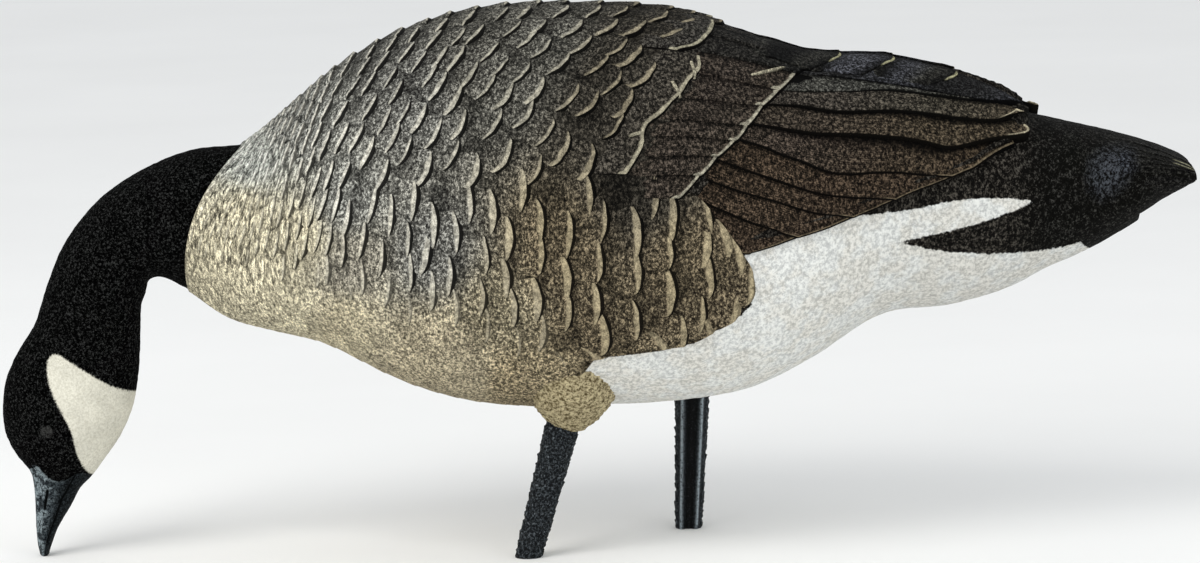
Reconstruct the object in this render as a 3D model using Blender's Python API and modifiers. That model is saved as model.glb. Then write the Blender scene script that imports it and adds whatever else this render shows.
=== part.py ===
"""Feeding goose decoy: a moulded body with folded wings, a separate head and
neck that reaches down to the ground, and two plug-in legs.

Metres, +Z up. The bird faces -X, its left side faces -Y. It stands on the
tip of its bill and the flat ends of its two legs, all at z = 0.
"""

import math

import bmesh
import bpy
import numpy as np

MM = 0.001
FIT_GAP = 0.3  # clearance between pieces that seat in each other, mm

# ---------------------------------------------------------------- body sizes
# One row a rib, in mm: top (x, z), bottom (x, z), half width, height of the
# widest point (-1 bottom to 1 top), squareness above it and below it.
BODY_RIBS = (
    ((-219, 259), (-255, 166), 41, 0.00, 2.0, 2.00),  # rim round the neck
    ((-204, 270), (-230, 149), 62, 0.00, 2.0, 2.00),
    ((-182, 288), (-199, 140), 84, -0.02, 2.0, 2.00),
    ((-153, 310), (-169, 132), 100, -0.04, 2.0, 2.10),
    ((-112, 330), (-118, 106.5), 112, -0.06, 2.0, 2.20),
    ((-62, 341.5), (-68, 93), 117, -0.06, 2.0, 2.25),  # shoulders
    ((-6, 342.5), (-12, 91), 117, -0.06, 2.0, 2.30),
    ((50, 338), (45, 92), 114, -0.04, 2.0, 2.30),
    ((97, 322), (93, 98.5), 104, 0.00, 2.0, 2.30),
    ((137, 303), (134, 116.5), 92, 0.05, 2.0, 2.20),
    ((181, 292.5), (178, 142.5), 78, 0.10, 2.0, 2.10),  # rump
    ((225, 281), (222, 147.5), 65, 0.16, 2.0, 2.00),
    ((262, 270), (260, 158), 56, 0.22, 2.0, 2.00),
    ((293, 262), (292, 175), 51, 0.28, 2.0, 1.90),  # root of the tail
    ((325, 254), (325, 191.5), 49, 0.34, 2.0, 1.80),
    ((351, 245), (351, 208), 48, 0.36, 2.1, 1.80),
    ((367, 238), (367, 219), 46, 0.30, 2.4, 2.20),
    ((374, 233), (375, 225), 41, 0.00, 2.6, 2.60),  # end of the tail
)
RIM_BULGE = 13.0  # the rim's sides reach forward of its top and bottom
BODY_STATIONS, BODY_AROUND = 24, 20

# ------------------------------------------------------- head and neck sizes
# Outer (x, z) on the crown side, inner (x, z) on the throat side, half width.
HEAD_RIBS = (
    ((-220, 258), (-256, 168), 39.5),  # leaves the body
    ((-253, 255), (-269, 175), 37.0),
    ((-285, 242.5), (-276, 176), 33.0),
    ((-312, 224), (-281, 173), 30.0),
    ((-333, 198), (-283, 166), 28.0),
    ((-345, 171), (-286, 157), 26.5),
    ((-353, 148), (-287, 141), 26.0),
    ((-364, 131), (-288, 125), 27.0),
    ((-372, 114), (-290, 109), 29.0),
    ((-375, 97), (-294, 92), 29.5),  # cheeks
    ((-374, 80), (-301, 77), 28.0),
    ((-368, 66), (-310, 64), 24.0),
    ((-360, 54), (-320, 51), 18.0),  # root of the bill
    ((-358, 45), (-329, 43), 14.5),
    ((-357.5, 32), (-336, 32), 13.0),
    ((-357.5, 20), (-342, 20), 11.5),
    ((-357, 9), (-346, 9), 10.0),
    ((-356, 3), (-348, 3), 7.5),
    ((-354, 0), (-350, 0), 4.5),  # tip, flat on the ground
)
NECK_SEAT = 9.0  # the neck's end sits this deep inside the body's rim
HEAD_AROUND = 14

# ----------------------------------------------------------------- leg sizes
LEG_TOP_RADIUS, LEG_END_RADIUS = 11.0, 8.5
LEG_SEAT = 20.0  # length inside the thigh
LEG_GROOVE_DEPTH, LEG_GROOVE_HALF_ANGLE = 3.2, 24.0
LEG_STANCE = 46.0  # half the distance between the feet
# name, side (-1 left), foot x, x where it enters the thigh, height there
LEGS = (
    ("left_leg", -1, -46.0, -23.4, 80.0),
    ("right_leg", 1, 55.7, 59.9, 88.0),
)

# -------------------------------------------------------- relief on the body
WING_START, WING_END = 6.6, 12.42  # rib numbers
WING_LOW = ((6.6, 92), (7.9, 94), (8.7, 91.5), (9.3, 90.5), (9.8, 88.5),
            (10.1, 85.5), (10.65, 78.5), (11.25, 70), (11.7, 60), (12.42, 44))
WING_TOP = ((6.6, 8), (9.5, 3), (11.0, 5), (11.8, 13), (12.42, 27))
WING_RISE_TOP = ((6.6, -4), (8.0, -1), (8.8, 3), (9.4, 8), (10.0, 13), (11.0, 15), (11.8, 14), (12.42, 9))
WING_RISE_LOW = ((6.6, -4), (7.6, 0.5), (8.3, 4), (11.0, 5), (12.42, 6))
FLANK_START, FLANK_END = 5.2, 8.07
FLANK_LOW = ((5.2, 128), (6.03, 127), (6.65, 125), (7.25, 122), (7.48, 118.5),
             (7.8, 114.5), (8.0, 111), (8.07, 108))
FLANK_TOP = ((5.2, 84), (7.5, 84), (7.9, 90), (8.07, 97))
FLANK_RISE = 3.0
SKIN_DEPTH = 7.0  # how far a raised layer is rooted under the body's surface


def hermite(rows, t):
    """A smooth curve through the rows, which it meets at t = 0, 1, 2..."""
    rows = np.asarray(rows, float)
    t = np.clip(np.asarray(t, float), 0, len(rows) - 1)
    i = np.minimum(t.astype(int), len(rows) - 2)
    f = (t - i)[..., None]
    before = rows[np.maximum(i - 1, 0)]
    after = rows[np.minimum(i + 2, len(rows) - 1)]
    a, b = rows[i], rows[i + 1]
    leaving = np.where((i == 0)[..., None], b - a, (b - before) / 2)
    arriving = np.where((i == len(rows) - 2)[..., None], b - a, (after - a) / 2)
    return (
        (2 * f**3 - 3 * f**2 + 1) * a
        + (f**3 - 2 * f**2 + f) * leaving
        + (3 * f**2 - 2 * f**3) * b
        + (f**3 - f**2) * arriving
    )


BODY = np.array([[*t, *b, w, m, n, k] for t, b, w, m, n, k in BODY_RIBS], float)
HEAD = np.array([[*t, *b, w, 0.0, 2.0, 2.0] for t, b, w in HEAD_RIBS], float)


def section(row, theta, grow=0.0):
    """Points on one rib, in mm: theta 0 at its top, pi at its bottom, and its
    sign picks the side."""
    tx, tz, bx, bz, w, m, n, k = np.moveaxis(row, -1, 0)
    hx, hz = (tx - bx) / 2, (tz - bz) / 2
    half = np.hypot(hx, hz)
    up, side = np.cos(theta), np.sin(theta)
    power = 2 / np.where(up > 0, n, k)
    v = np.sign(up) * np.abs(up) ** power
    y = np.sign(side) * np.abs(side) ** power * (w + grow)
    v = (m + np.where(up > 0, 1 - m, 1 + m) * v) * (1 + grow / half)
    return np.stack([(tx + bx) / 2 + hx * v, y, (tz + bz) / 2 + hz * v], -1)


def skin(u, theta, grow=0.0):
    """The body's surface: u is the rib number, 0 at the neck's rim."""
    u, theta = np.broadcast_arrays(np.asarray(u, float), np.asarray(theta, float))
    p = section(hermite(BODY, u), theta, grow)
    lead = np.clip(1 - u / 1.6, 0, 1) ** 2 * RIM_BULGE * np.sin(theta) ** 2
    p[..., 0] -= lead * 0.93
    p[..., 2] += lead * 0.37
    return p


def raised(u, theta, rise):
    """The body's surface moved out along its normal by rise."""
    e = 0.01
    across = skin(u + e, theta) - skin(u - e, theta)
    around = skin(u, theta + e) - skin(u, theta - e)
    normal = np.cross(across, around)
    normal /= np.linalg.norm(normal, axis=-1, keepdims=True)
    return skin(u, theta) + normal * np.asarray(rise)[..., None]


def between(table, u):
    """The value at u on a table of (u, value) rows."""
    at, value = np.array(table, float).T
    return np.interp(u, at, value)


def smooth(x):
    x = np.clip(x, 0, 1)
    return x * x * (3 - 2 * x)


# ------------------------------------------------------------- scene helpers
for old in list(bpy.data.objects):
    bpy.data.objects.remove(old, do_unlink=True)
parts = bpy.data.collections.new("goose_decoy")
helpers = bpy.data.collections.new("cutters_and_additions")
for collection in (parts, helpers):
    bpy.context.scene.collection.children.link(collection)


def material(name, colour, roughness):
    mat = bpy.data.materials.new(name)
    mat.use_nodes = True
    shader = mat.node_tree.nodes["Principled BSDF"]
    shader.inputs["Base Color"].default_value = (*colour, 1)
    shader.inputs["Roughness"].default_value = roughness
    mat.diffuse_color = (*colour, 1)
    return mat


def loft(name, rings, collection, creases=()):
    """A closed tube through rings of points (mm), with a face over each end.
    creases lists the rings whose edges stay sharp when it is subdivided."""
    bm = bmesh.new()
    sharp = bm.edges.layers.float.new("crease_edge")
    rows = [[bm.verts.new(np.asarray(p) * MM) for p in ring] for ring in rings]
    around = len(rows[0])
    for a, b in zip(rows, rows[1:]):
        for i in range(around):
            j = (i + 1) % around
            bm.faces.new((a[i], a[j], b[j], b[i]))
    bm.faces.new(rows[0])
    bm.faces.new(list(reversed(rows[-1])))
    for index in creases:
        row = rows[index]
        for i in range(around):
            bm.edges.get((row[i], row[(i + 1) % around]))[sharp] = 1.0
    bmesh.ops.recalc_face_normals(bm, faces=bm.faces)
    mesh = bpy.data.meshes.new(name)
    bm.to_mesh(mesh)
    bm.free()
    obj = bpy.data.objects.new(name, mesh)
    collection.objects.link(obj)
    return obj


def layer(name, us, theta_top, theta_low, rise, side, columns):
    """A raised layer on the body's skin: a thin closed slab between two edges,
    rooted under the surface. rise(u, s) is its height, s 0 at the top edge."""
    s = np.linspace(0, 1, columns)
    uu, ss = np.meshgrid(us, s, indexing="ij")
    top, low = between(theta_top, uu), between(theta_low, uu)
    theta = np.radians(top + (low - top) * ss)
    height = rise(uu, ss)
    outer, inner = raised(uu, theta, height), raised(uu, theta, 0 * height - SKIN_DEPTH)
    outer[..., 1] *= side
    inner[..., 1] *= side
    rings = [np.concatenate([o, i[::-1]]) for o, i in zip(outer, inner)]
    return loft(name, rings, helpers)


def helper(obj):
    obj.hide_render = True
    obj.display_type = "WIRE"
    return obj


def boolean(target, other, operation):
    mod = target.modifiers.new(operation.lower() + "_" + other.name, "BOOLEAN")
    mod.operation = operation
    mod.object = helper(other)


def subdivide(obj):
    mod = obj.modifiers.new("round", "SUBSURF")
    mod.levels = mod.render_levels = 1


def finish(obj, mat):
    obj.data.materials.append(mat)
    obj.data.shade_smooth()
    obj.data.set_sharp_from_angle(angle=math.radians(40))


def cage(rings, around):
    """The rings pushed out by what subdivision pulls them in."""
    gain = 3 / (2 + math.cos(2 * math.pi / around))
    centres = rings.mean(axis=1, keepdims=True)
    return centres + (rings - centres) * gain


# ---------------------------------------------------------------------- body
theta = np.arange(BODY_AROUND) * 2 * math.pi / BODY_AROUND
stations = np.linspace(0, len(BODY) - 1, BODY_STATIONS)
body = loft(
    "body",
    cage(skin(stations[:, None], theta[None, :]), BODY_AROUND),
    parts,
    creases=(0, BODY_STATIONS - 1),
)
subdivide(body)


def wing_rise(u, s):
    top, low = between(WING_RISE_TOP, u), between(WING_RISE_LOW, u)
    return top + (low - top) * smooth(s)


def flank_rise(u, s):
    front = smooth((u - FLANK_START) / 1.2)
    return (FLANK_RISE + 3) * front * smooth(s * 3.0) - 3


def thigh(name, side, x, bottom):
    """A rounded knob that swells out of the belly round the top of a leg."""
    profile = ((0.0, 12.0), (2.5, 15.0), (8.0, 19.0), (17.0, 23.5), (28.0, 26.0), (40.0, 22.0))
    rings = []
    for up, radius in profile:
        centre = np.array([x + up * 0.10, side * (LEG_STANCE + up * 0.22), bottom + up])
        rings.append([
            centre + radius * np.array([math.cos(a), 0.94 * math.sin(a), 0])
            for a in np.arange(14) * 2 * math.pi / 14
        ])
    return loft(name, rings, helpers)


def leg_rings(x_foot, x_top, z_top, side, radius_gain=0.0, extra=0.0, groove=True):
    """Horizontal slices of a leg, from the ground up into the thigh."""
    rings = []
    heights = (0.0 if groove else z_top - 6, 14.0, 34.0, 56.0, z_top, z_top + LEG_SEAT + extra)
    for z in heights if groove else (heights[0], heights[-1]):
        f = z / z_top
        x = x_foot + (x_top - x_foot) * f
        radius = LEG_END_RADIUS + (LEG_TOP_RADIUS - LEG_END_RADIUS) * min(f, 1.0) + radius_gain
        ring = []
        for step in range(20):
            a = step * 2 * math.pi / 20
            r = radius
            if groove:
                # the channel runs down the side that faces the other leg
                off = abs(math.degrees(a) - (270 if side > 0 else 90))
                r -= LEG_GROOVE_DEPTH * (off < LEG_GROOVE_HALF_ANGLE)
            ring.append((x + r * math.cos(a), side * LEG_STANCE + 0.92 * r * math.sin(a), z))
        rings.append(ring)
    return np.array(rings)


wing_us = np.linspace(WING_START, WING_END, 19)
flank_us = np.append(np.linspace(FLANK_START, 7.9, 9), [8.0, FLANK_END])
for side, word in ((-1, "left"), (1, "right")):
    boolean(body, layer(word + "_wing", wing_us, WING_TOP, WING_LOW, wing_rise, side, 8), "UNION")
    boolean(body, layer(word + "_flank", flank_us, FLANK_TOP, FLANK_LOW, flank_rise, side, 6), "UNION")
for name, side, x_foot, x_top, z_top in LEGS:
    boolean(body, thigh(name + "_thigh", side, x_top + 6.0, z_top - 1.5), "UNION")
for name, side, x_foot, x_top, z_top in LEGS:
    hole = leg_rings(x_foot, x_top, z_top, side, FIT_GAP, FIT_GAP, groove=False)
    boolean(body, loft(name + "_hole", hole, helpers), "DIFFERENCE")

# ------------------------------------------------------------- head and neck
around = np.arange(HEAD_AROUND) * 2 * math.pi / HEAD_AROUND
ribs = section(HEAD[:, None, :], around[None, :])
inward = np.array([0.93, 0.0, -0.37])  # from the rim into the body


def neck_end(grow, depth):
    """The neck's first ring, moved into the body."""
    return section(HEAD[0][None, :], around, grow) + inward * depth


head_rings = np.concatenate([neck_end(0, NECK_SEAT)[None], ribs])
head = loft("head", cage(head_rings, HEAD_AROUND), parts, creases=(0, len(head_rings) - 1))
subdivide(head)

seat = loft(
    "neck_seat",
    cage(np.stack([neck_end(FIT_GAP, NECK_SEAT + FIT_GAP), neck_end(FIT_GAP, -26)]), HEAD_AROUND),
    helpers,
)
boolean(body, seat, "DIFFERENCE")

# ---------------------------------------------------------------------- legs
brown = material("feather_paint", (0.16, 0.125, 0.09), 0.75)
black = material("flocked_black", (0.012, 0.012, 0.014), 0.9)
slate = material("leg_plastic", (0.03, 0.035, 0.04), 0.45)
finish(body, brown)
finish(head, black)
for name, side, x_foot, x_top, z_top in LEGS:
    leg = loft(name, leg_rings(x_foot, x_top, z_top, side), parts)
    finish(leg, slate)
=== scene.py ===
"""Looks of a feeding goose decoy: carved and painted feathers, folded wings,
a flocked black head and neck, scaled legs.

Metres, +Z up. The bird faces -X and its left side faces the camera at -Y.
Surface coordinates used all through: u is the rib number along the body
(0 at the neck's rim, 17 at the end of the tail) and theta the angle round a
rib (0 on the back, 180 on the belly). Both sides are alike.
"""

import math

import bpy
import numpy as np
from mathutils import Matrix, Vector


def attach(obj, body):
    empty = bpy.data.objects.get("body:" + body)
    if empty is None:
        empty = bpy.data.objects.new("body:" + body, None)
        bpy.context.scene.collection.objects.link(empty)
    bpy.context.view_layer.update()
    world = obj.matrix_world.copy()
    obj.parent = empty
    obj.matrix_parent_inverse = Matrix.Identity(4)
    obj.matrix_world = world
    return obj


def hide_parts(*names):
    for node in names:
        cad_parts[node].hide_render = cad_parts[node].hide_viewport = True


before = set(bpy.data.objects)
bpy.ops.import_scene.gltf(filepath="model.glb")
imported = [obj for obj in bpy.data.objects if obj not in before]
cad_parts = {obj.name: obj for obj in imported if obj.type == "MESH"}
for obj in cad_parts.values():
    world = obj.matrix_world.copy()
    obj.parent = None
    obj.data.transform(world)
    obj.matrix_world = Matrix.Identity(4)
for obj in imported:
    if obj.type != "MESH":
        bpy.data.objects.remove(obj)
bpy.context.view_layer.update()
MM = 0.001

# ------------------------------------------------------------------- camera
# Seen from the left, a little above, as a 1200 x 563 picture.
CAM_AT = np.array([0.0027, -3.93993, 0.71102])
CAM_DOWN, CAM_ROLL = math.radians(7.87), math.radians(1.31)
FOCAL_PX = 6329.0
WIDE, HIGH = 1200, 563
ahead = np.array([0.0, math.cos(CAM_DOWN), -math.sin(CAM_DOWN)])
across = np.array([1.0, 0.0, 0.0])
upward = np.cross(across, ahead)
pic_x = across * math.cos(CAM_ROLL) - upward * math.sin(CAM_ROLL)
pic_y = across * math.sin(CAM_ROLL) + upward * math.cos(CAM_ROLL)

cam_data = bpy.data.cameras.new("camera")
cam_data.sensor_width = 36.0
cam_data.lens = 36.0 * FOCAL_PX / WIDE
cam_data.clip_start, cam_data.clip_end = 0.1, 50
camera = bpy.data.objects.new("camera", cam_data)
bpy.context.scene.collection.objects.link(camera)
camera.matrix_world = Matrix([
    [pic_x[0], pic_y[0], -ahead[0], CAM_AT[0]],
    [pic_x[1], pic_y[1], -ahead[1], CAM_AT[1]],
    [pic_x[2], pic_y[2], -ahead[2], CAM_AT[2]],
    [0, 0, 0, 1],
])
bpy.context.scene.camera = camera


def side_view(p):
    """Where points (mm) lie on a fixed side view of the left side, in its own
    units of about 0.63 mm; points of the right side are mirrored first. The
    outlines of the painted fields below are given on this view."""
    q = np.array(p, float) * MM
    q[..., 1] = -np.abs(q[..., 1])
    q = q - CAM_AT
    depth = q @ ahead
    return np.stack([WIDE / 2 + FOCAL_PX * (q @ pic_x) / depth,
                     HIGH / 2 - FOCAL_PX * (q @ pic_y) / depth], -1)


UNIT = 0.632  # mm in one unit of the side view

# ------------------------------------------------------ body's base surface
# top (x, z), bottom (x, z), half width, height of the widest point,
# squareness above it and below it, in mm, one row a rib
BODY_RIBS = (
    ((-219, 259), (-255, 166), 41, 0.00, 2.0, 2.00),
    ((-204, 270), (-230, 149), 62, 0.00, 2.0, 2.00),
    ((-182, 288), (-199, 140), 84, -0.02, 2.0, 2.00),
    ((-153, 310), (-169, 132), 100, -0.04, 2.0, 2.10),
    ((-112, 330), (-118, 106.5), 112, -0.06, 2.0, 2.20),
    ((-62, 341.5), (-68, 93), 117, -0.06, 2.0, 2.25),
    ((-6, 342.5), (-12, 91), 117, -0.06, 2.0, 2.30),
    ((50, 338), (45, 92), 114, -0.04, 2.0, 2.30),
    ((97, 322), (93, 98.5), 104, 0.00, 2.0, 2.30),
    ((137, 303), (134, 116.5), 92, 0.05, 2.0, 2.20),
    ((181, 292.5), (178, 142.5), 78, 0.10, 2.0, 2.10),
    ((225, 281), (222, 147.5), 65, 0.16, 2.0, 2.00),
    ((262, 270), (260, 158), 56, 0.22, 2.0, 2.00),
    ((293, 262), (292, 175), 51, 0.28, 2.0, 1.90),
    ((325, 254), (325, 191.5), 49, 0.34, 2.0, 1.80),
    ((351, 245), (351, 208), 48, 0.36, 2.1, 1.80),
    ((367, 238), (367, 219), 46, 0.30, 2.4, 2.20),
    ((374, 233), (375, 225), 41, 0.00, 2.6, 2.60),
)
RIM_BULGE = 13.0
HEAD_RIBS = (
    ((-220, 258), (-256, 168), 39.5), ((-253, 255), (-269, 175), 37.0),
    ((-285, 242.5), (-276, 176), 33.0), ((-312, 224), (-281, 173), 30.0),
    ((-333, 198), (-283, 166), 28.0), ((-345, 171), (-286, 157), 26.5),
    ((-353, 148), (-287, 141), 26.0), ((-364, 131), (-288, 125), 27.0),
    ((-372, 114), (-290, 109), 29.0), ((-375, 97), (-294, 92), 29.5),
    ((-374, 80), (-301, 77), 28.0), ((-368, 66), (-310, 64), 24.0),
    ((-360, 54), (-320, 51), 18.0), ((-358, 45), (-329, 43), 14.5),
    ((-357.5, 32), (-336, 32), 13.0), ((-357.5, 20), (-342, 20), 11.5),
    ((-357, 9), (-346, 9), 10.0), ((-356, 3), (-348, 3), 7.5),
    ((-354, 0), (-350, 0), 4.5),
)
NECK_SEAT = 9.0
LEG_TOP_RADIUS, LEG_END_RADIUS = 11.0, 8.5
LEG_SEAT = 20.0
LEG_GROOVE_DEPTH, LEG_GROOVE_HALF_ANGLE = 3.2, 24.0
LEG_STANCE = 46.0
# name, side (-1 left), foot x, x where it enters the thigh, height there
LEGS = (("left_leg", -1, -46.0, -23.4, 80.0), ("right_leg", 1, 55.7, 59.9, 88.0))

WING_LOW = ((6.6, 92), (7.9, 94.5), (8.7, 92.5), (9.3, 92), (9.8, 91.5), (10.1, 90),
            (10.65, 82.5), (11.25, 73), (11.7, 60), (12.42, 44))
WING_TOP = ((6.6, 8), (9.5, 3), (11.0, 5), (11.8, 13), (12.42, 27))
WING_RISE_TOP = ((6.6, -4), (8.0, -1), (8.8, 3), (9.4, 8), (10.0, 13), (11.0, 15), (11.8, 14), (12.42, 9))
WING_RISE_LOW = ((6.6, -4), (7.6, 0.5), (8.3, 4), (11.0, 5), (12.42, 6))
FLANK_START = 5.2
FLANK_LOW = ((5.2, 128), (6.03, 127.5), (6.65, 126), (7.25, 123), (7.46, 119.5),
             (7.8, 115.5), (8.05, 111), (8.1, 107))
FLANK_TOP = ((5.2, 84), (7.5, 84), (7.9, 90), (8.07, 97))


def hermite(rows, t):
    """A smooth curve through the rows, which it meets at t = 0, 1, 2..."""
    rows = np.asarray(rows, float)
    t = np.clip(np.asarray(t, float), 0, len(rows) - 1)
    i = np.minimum(t.astype(int), len(rows) - 2)
    f = (t - i)[..., None]
    before = rows[np.maximum(i - 1, 0)]
    after = rows[np.minimum(i + 2, len(rows) - 1)]
    a, b = rows[i], rows[i + 1]
    leaving = np.where((i == 0)[..., None], b - a, (b - before) / 2)
    arriving = np.where((i == len(rows) - 2)[..., None], b - a, (after - a) / 2)
    return (
        (2 * f**3 - 3 * f**2 + 1) * a
        + (f**3 - 2 * f**2 + f) * leaving
        + (3 * f**2 - 2 * f**3) * b
        + (f**3 - f**2) * arriving
    )


BODY = np.array([[*t, *b, w, m, n, k] for t, b, w, m, n, k in BODY_RIBS], float)
HEAD = np.array([[*t, *b, w, 0.0, 2.0, 2.0] for t, b, w in HEAD_RIBS], float)


def section(row, theta, grow=0.0):
    tx, tz, bx, bz, w, m, n, k = np.moveaxis(row, -1, 0)
    hx, hz = (tx - bx) / 2, (tz - bz) / 2
    half = np.hypot(hx, hz)
    up, side = np.cos(theta), np.sin(theta)
    power = 2 / np.where(up > 0, n, k)
    v = np.sign(up) * np.abs(up) ** power
    y = np.sign(side) * np.abs(side) ** power * (w + grow)
    v = (m + np.where(up > 0, 1 - m, 1 + m) * v) * (1 + grow / half)
    return np.stack([(tx + bx) / 2 + hx * v, y, (tz + bz) / 2 + hz * v], -1)


def skin(u, theta):
    u, theta = np.broadcast_arrays(np.asarray(u, float), np.asarray(theta, float))
    p = section(hermite(BODY, u), theta)
    lead = np.clip(1 - u / 1.6, 0, 1) ** 2 * RIM_BULGE * np.sin(theta) ** 2
    p[..., 0] -= lead * 0.93
    p[..., 2] += lead * 0.37
    return p


def lifted(u, theta, rise):
    """The body's surface moved out along its normal by rise."""
    u, theta = np.broadcast_arrays(np.asarray(u, float), np.asarray(theta, float))
    e = 0.01
    du = skin(u + e, theta) - skin(u - e, theta)
    dt = skin(u, theta + e) - skin(u, theta - e)
    normal = np.cross(du, dt)
    normal /= np.maximum(np.linalg.norm(normal, axis=-1, keepdims=True), 1e-9)
    return skin(u, theta) + normal * np.broadcast_to(rise, u.shape)[..., None]


def between(table, u):
    at, value = np.array(table, float).T
    return np.interp(u, at, value)


def smooth(x):
    x = np.clip(x, 0, 1)
    return x * x * (3 - 2 * x)


def girth(u):
    """Mean radius of a rib, mm."""
    row = hermite(BODY, u)
    return (row[..., 4] + np.hypot(row[..., 0] - row[..., 2], row[..., 1] - row[..., 3]) / 2) / 2


def noise(p, scale, seed=0):
    """Smooth random values from -1 to 1 at points p, with lumps of that scale."""
    q = np.asarray(p, float) / scale + seed * 17.31 + 1000.0
    i = np.floor(q).astype(np.int64)
    f = q - i
    f = f * f * (3 - 2 * f)
    out = np.zeros(q.shape[:-1])
    for dx in (0, 1):
        for dy in (0, 1):
            for dz in (0, 1):
                h = (i[..., 0] + dx) * 374761393 + (i[..., 1] + dy) * 668265263 + (i[..., 2] + dz) * 2147483647
                h = (h ^ (h >> 13)) * 1274126177
                h = (h ^ (h >> 16)) & 0xFFFF
                w = (f[..., 0] if dx else 1 - f[..., 0]) * (f[..., 1] if dy else 1 - f[..., 1]) * (f[..., 2] if dz else 1 - f[..., 2])
                out += w * (h / 32767.5 - 1)
    return out


def distance_inside(points, outline):
    """Signed distance (mm) of side-view points to a closed outline, > 0 inside."""
    pts = np.asarray(points, float)
    flat = pts.reshape(-1, 2)
    poly = np.array(outline, float)
    best = np.full(len(flat), 1e9)
    inside = np.zeros(len(flat), bool)
    for a, b in zip(poly, np.roll(poly, -1, axis=0)):
        ab = b - a
        t = np.clip(((flat - a) @ ab) / max(ab @ ab, 1e-9), 0, 1)
        best = np.minimum(best, np.linalg.norm(flat - a - t[:, None] * ab, axis=1))
        if a[1] != b[1]:
            hit = (a[1] > flat[:, 1]) != (b[1] > flat[:, 1])
            x = a[0] + (flat[:, 1] - a[1]) * (b[0] - a[0]) / (b[1] - a[1])
            inside ^= hit & (flat[:, 0] < x)
    return (np.where(inside, best, -best) * UNIT).reshape(pts.shape[:-1])


def rounded(outline, each=4):
    """An outline with its corners softened (Catmull-Rom through its points)."""
    p = np.array(outline, float)
    n = len(p)
    out = []
    for i in range(n):
        a, b, c, d = p[(i - 1) % n], p[i], p[(i + 1) % n], p[(i + 2) % n]
        for f in np.arange(each) / each:
            out.append(0.5 * (2 * b + (c - a) * f + (2 * a - 5 * b + 4 * c - d) * f**2 + (3 * b - a - 3 * c + d) * f**3))
    return out


# --------------------------------------------------- painted fields' outlines
# on the side view; the far points only close the outline off the bird
FRONT_TRACT = (  # small body feathers, as far back as the wing and the white
    (100, 420), (100, -100), (765, -60), (752, 34), (703, 55), (697, 66), (680, 95),
    (652, 130), (643, 150), (650, 170), (692, 192), (722, 224), (743, 254),
    (752, 270), (755.5, 290), (751, 305), (736, 319), (712, 332.5), (693, 343),
    (668, 348), (642, 353), (617, 356.5), (598, 359), (584, 361.5), (577, 370), (577, 400), (584, 520), (100, 520),
)
WHITE_FIELD = (
    (577, 370), (584, 361.5), (598, 359), (617, 356.5), (642, 353), (668, 348), (693, 343.5), (712, 333), (736, 319.5), (751, 306), (756, 290),
    (752, 270), (743, 254), (760, 245), (798, 233), (834, 221), (852, 216.5), (873, 214.5),
    (914, 209.5), (947, 202), (981, 198), (1012, 198.5), (1035, 201.5), (1012, 211.5),
    (981, 223), (947, 231.5), (914, 239), (898, 242.5), (931, 249.5), (951, 252), (990, 254),
    (1029, 252), (1062, 247), (1080, 242), (1100, 256), (1100, 520), (584, 520), (577, 400),
)
CHEEK = ((56, 354.5), (50, 357), (47, 366), (48.5, 383), (57, 404), (66, 421), (72, 434), (76.5, 452),
         (81, 463), (86, 470), (92, 474), (100, 474), (150, 430), (160, 400), (141, 391.5), (131, 391),
         (118, 388.5), (106, 384), (92, 376), (78, 367.5), (64, 358.5))
BILL = ((10, 462), (29, 469), (33, 466), (38, 467), (43, 473), (49, 479), (56, 481.5), (62, 481.5),
        (68, 479), (74, 475.5), (80, 473), (88, 474), (100, 478), (110, 500), (90, 600), (10, 600))

# ------------------------------------------------------------- mesh helpers


def mesh_of(name, points, groups, floats=None, colours=None, uv=None, smooth_faces=True):
    """A mesh from points in mm and groups of faces with equally many corners.
    uv gives one pair a corner, in the order of the groups."""
    me = bpy.data.meshes.new(name)
    groups = [np.asarray(g, np.int64) for g in groups if len(g)]
    corners = np.concatenate([g.ravel() for g in groups])
    sizes = np.concatenate([np.full(len(g), g.shape[1]) for g in groups])
    starts = np.concatenate([[0], np.cumsum(sizes)[:-1]])
    me.vertices.add(len(points))
    me.vertices.foreach_set("co", (np.asarray(points, float) * MM).astype(np.float32).ravel())
    me.loops.add(len(corners))
    me.loops.foreach_set("vertex_index", corners.astype(np.int32))
    me.polygons.add(len(sizes))
    me.polygons.foreach_set("loop_start", starts.astype(np.int32))
    me.polygons.foreach_set("use_smooth", np.full(len(sizes), smooth_faces))
    me.update(calc_edges=True)
    for key, value in (floats or {}).items():
        me.attributes.new(key, "FLOAT", "POINT").data.foreach_set(
            "value", np.asarray(value, np.float32).ravel())
    for key, value in (colours or {}).items():
        value = np.asarray(value, np.float32).reshape(-1, 3)
        four = np.concatenate([value, np.ones((len(value), 1), np.float32)], 1)
        me.attributes.new(key, "FLOAT_COLOR", "POINT").data.foreach_set("color", four.ravel())
    if uv is not None:
        layer = me.uv_layers.new(name="OFBake")
        layer.uv.foreach_set("vector", np.asarray(uv, np.float32).ravel())
    obj = bpy.data.objects.new(name, me)
    bpy.context.scene.collection.objects.link(obj)
    return obj


def add(obj, mat, node=None):
    obj.data.materials.append(mat)
    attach(obj, "root")
    if node:
        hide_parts(node)
    return obj


# -------------------------------------------------------------- shader nodes


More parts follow.
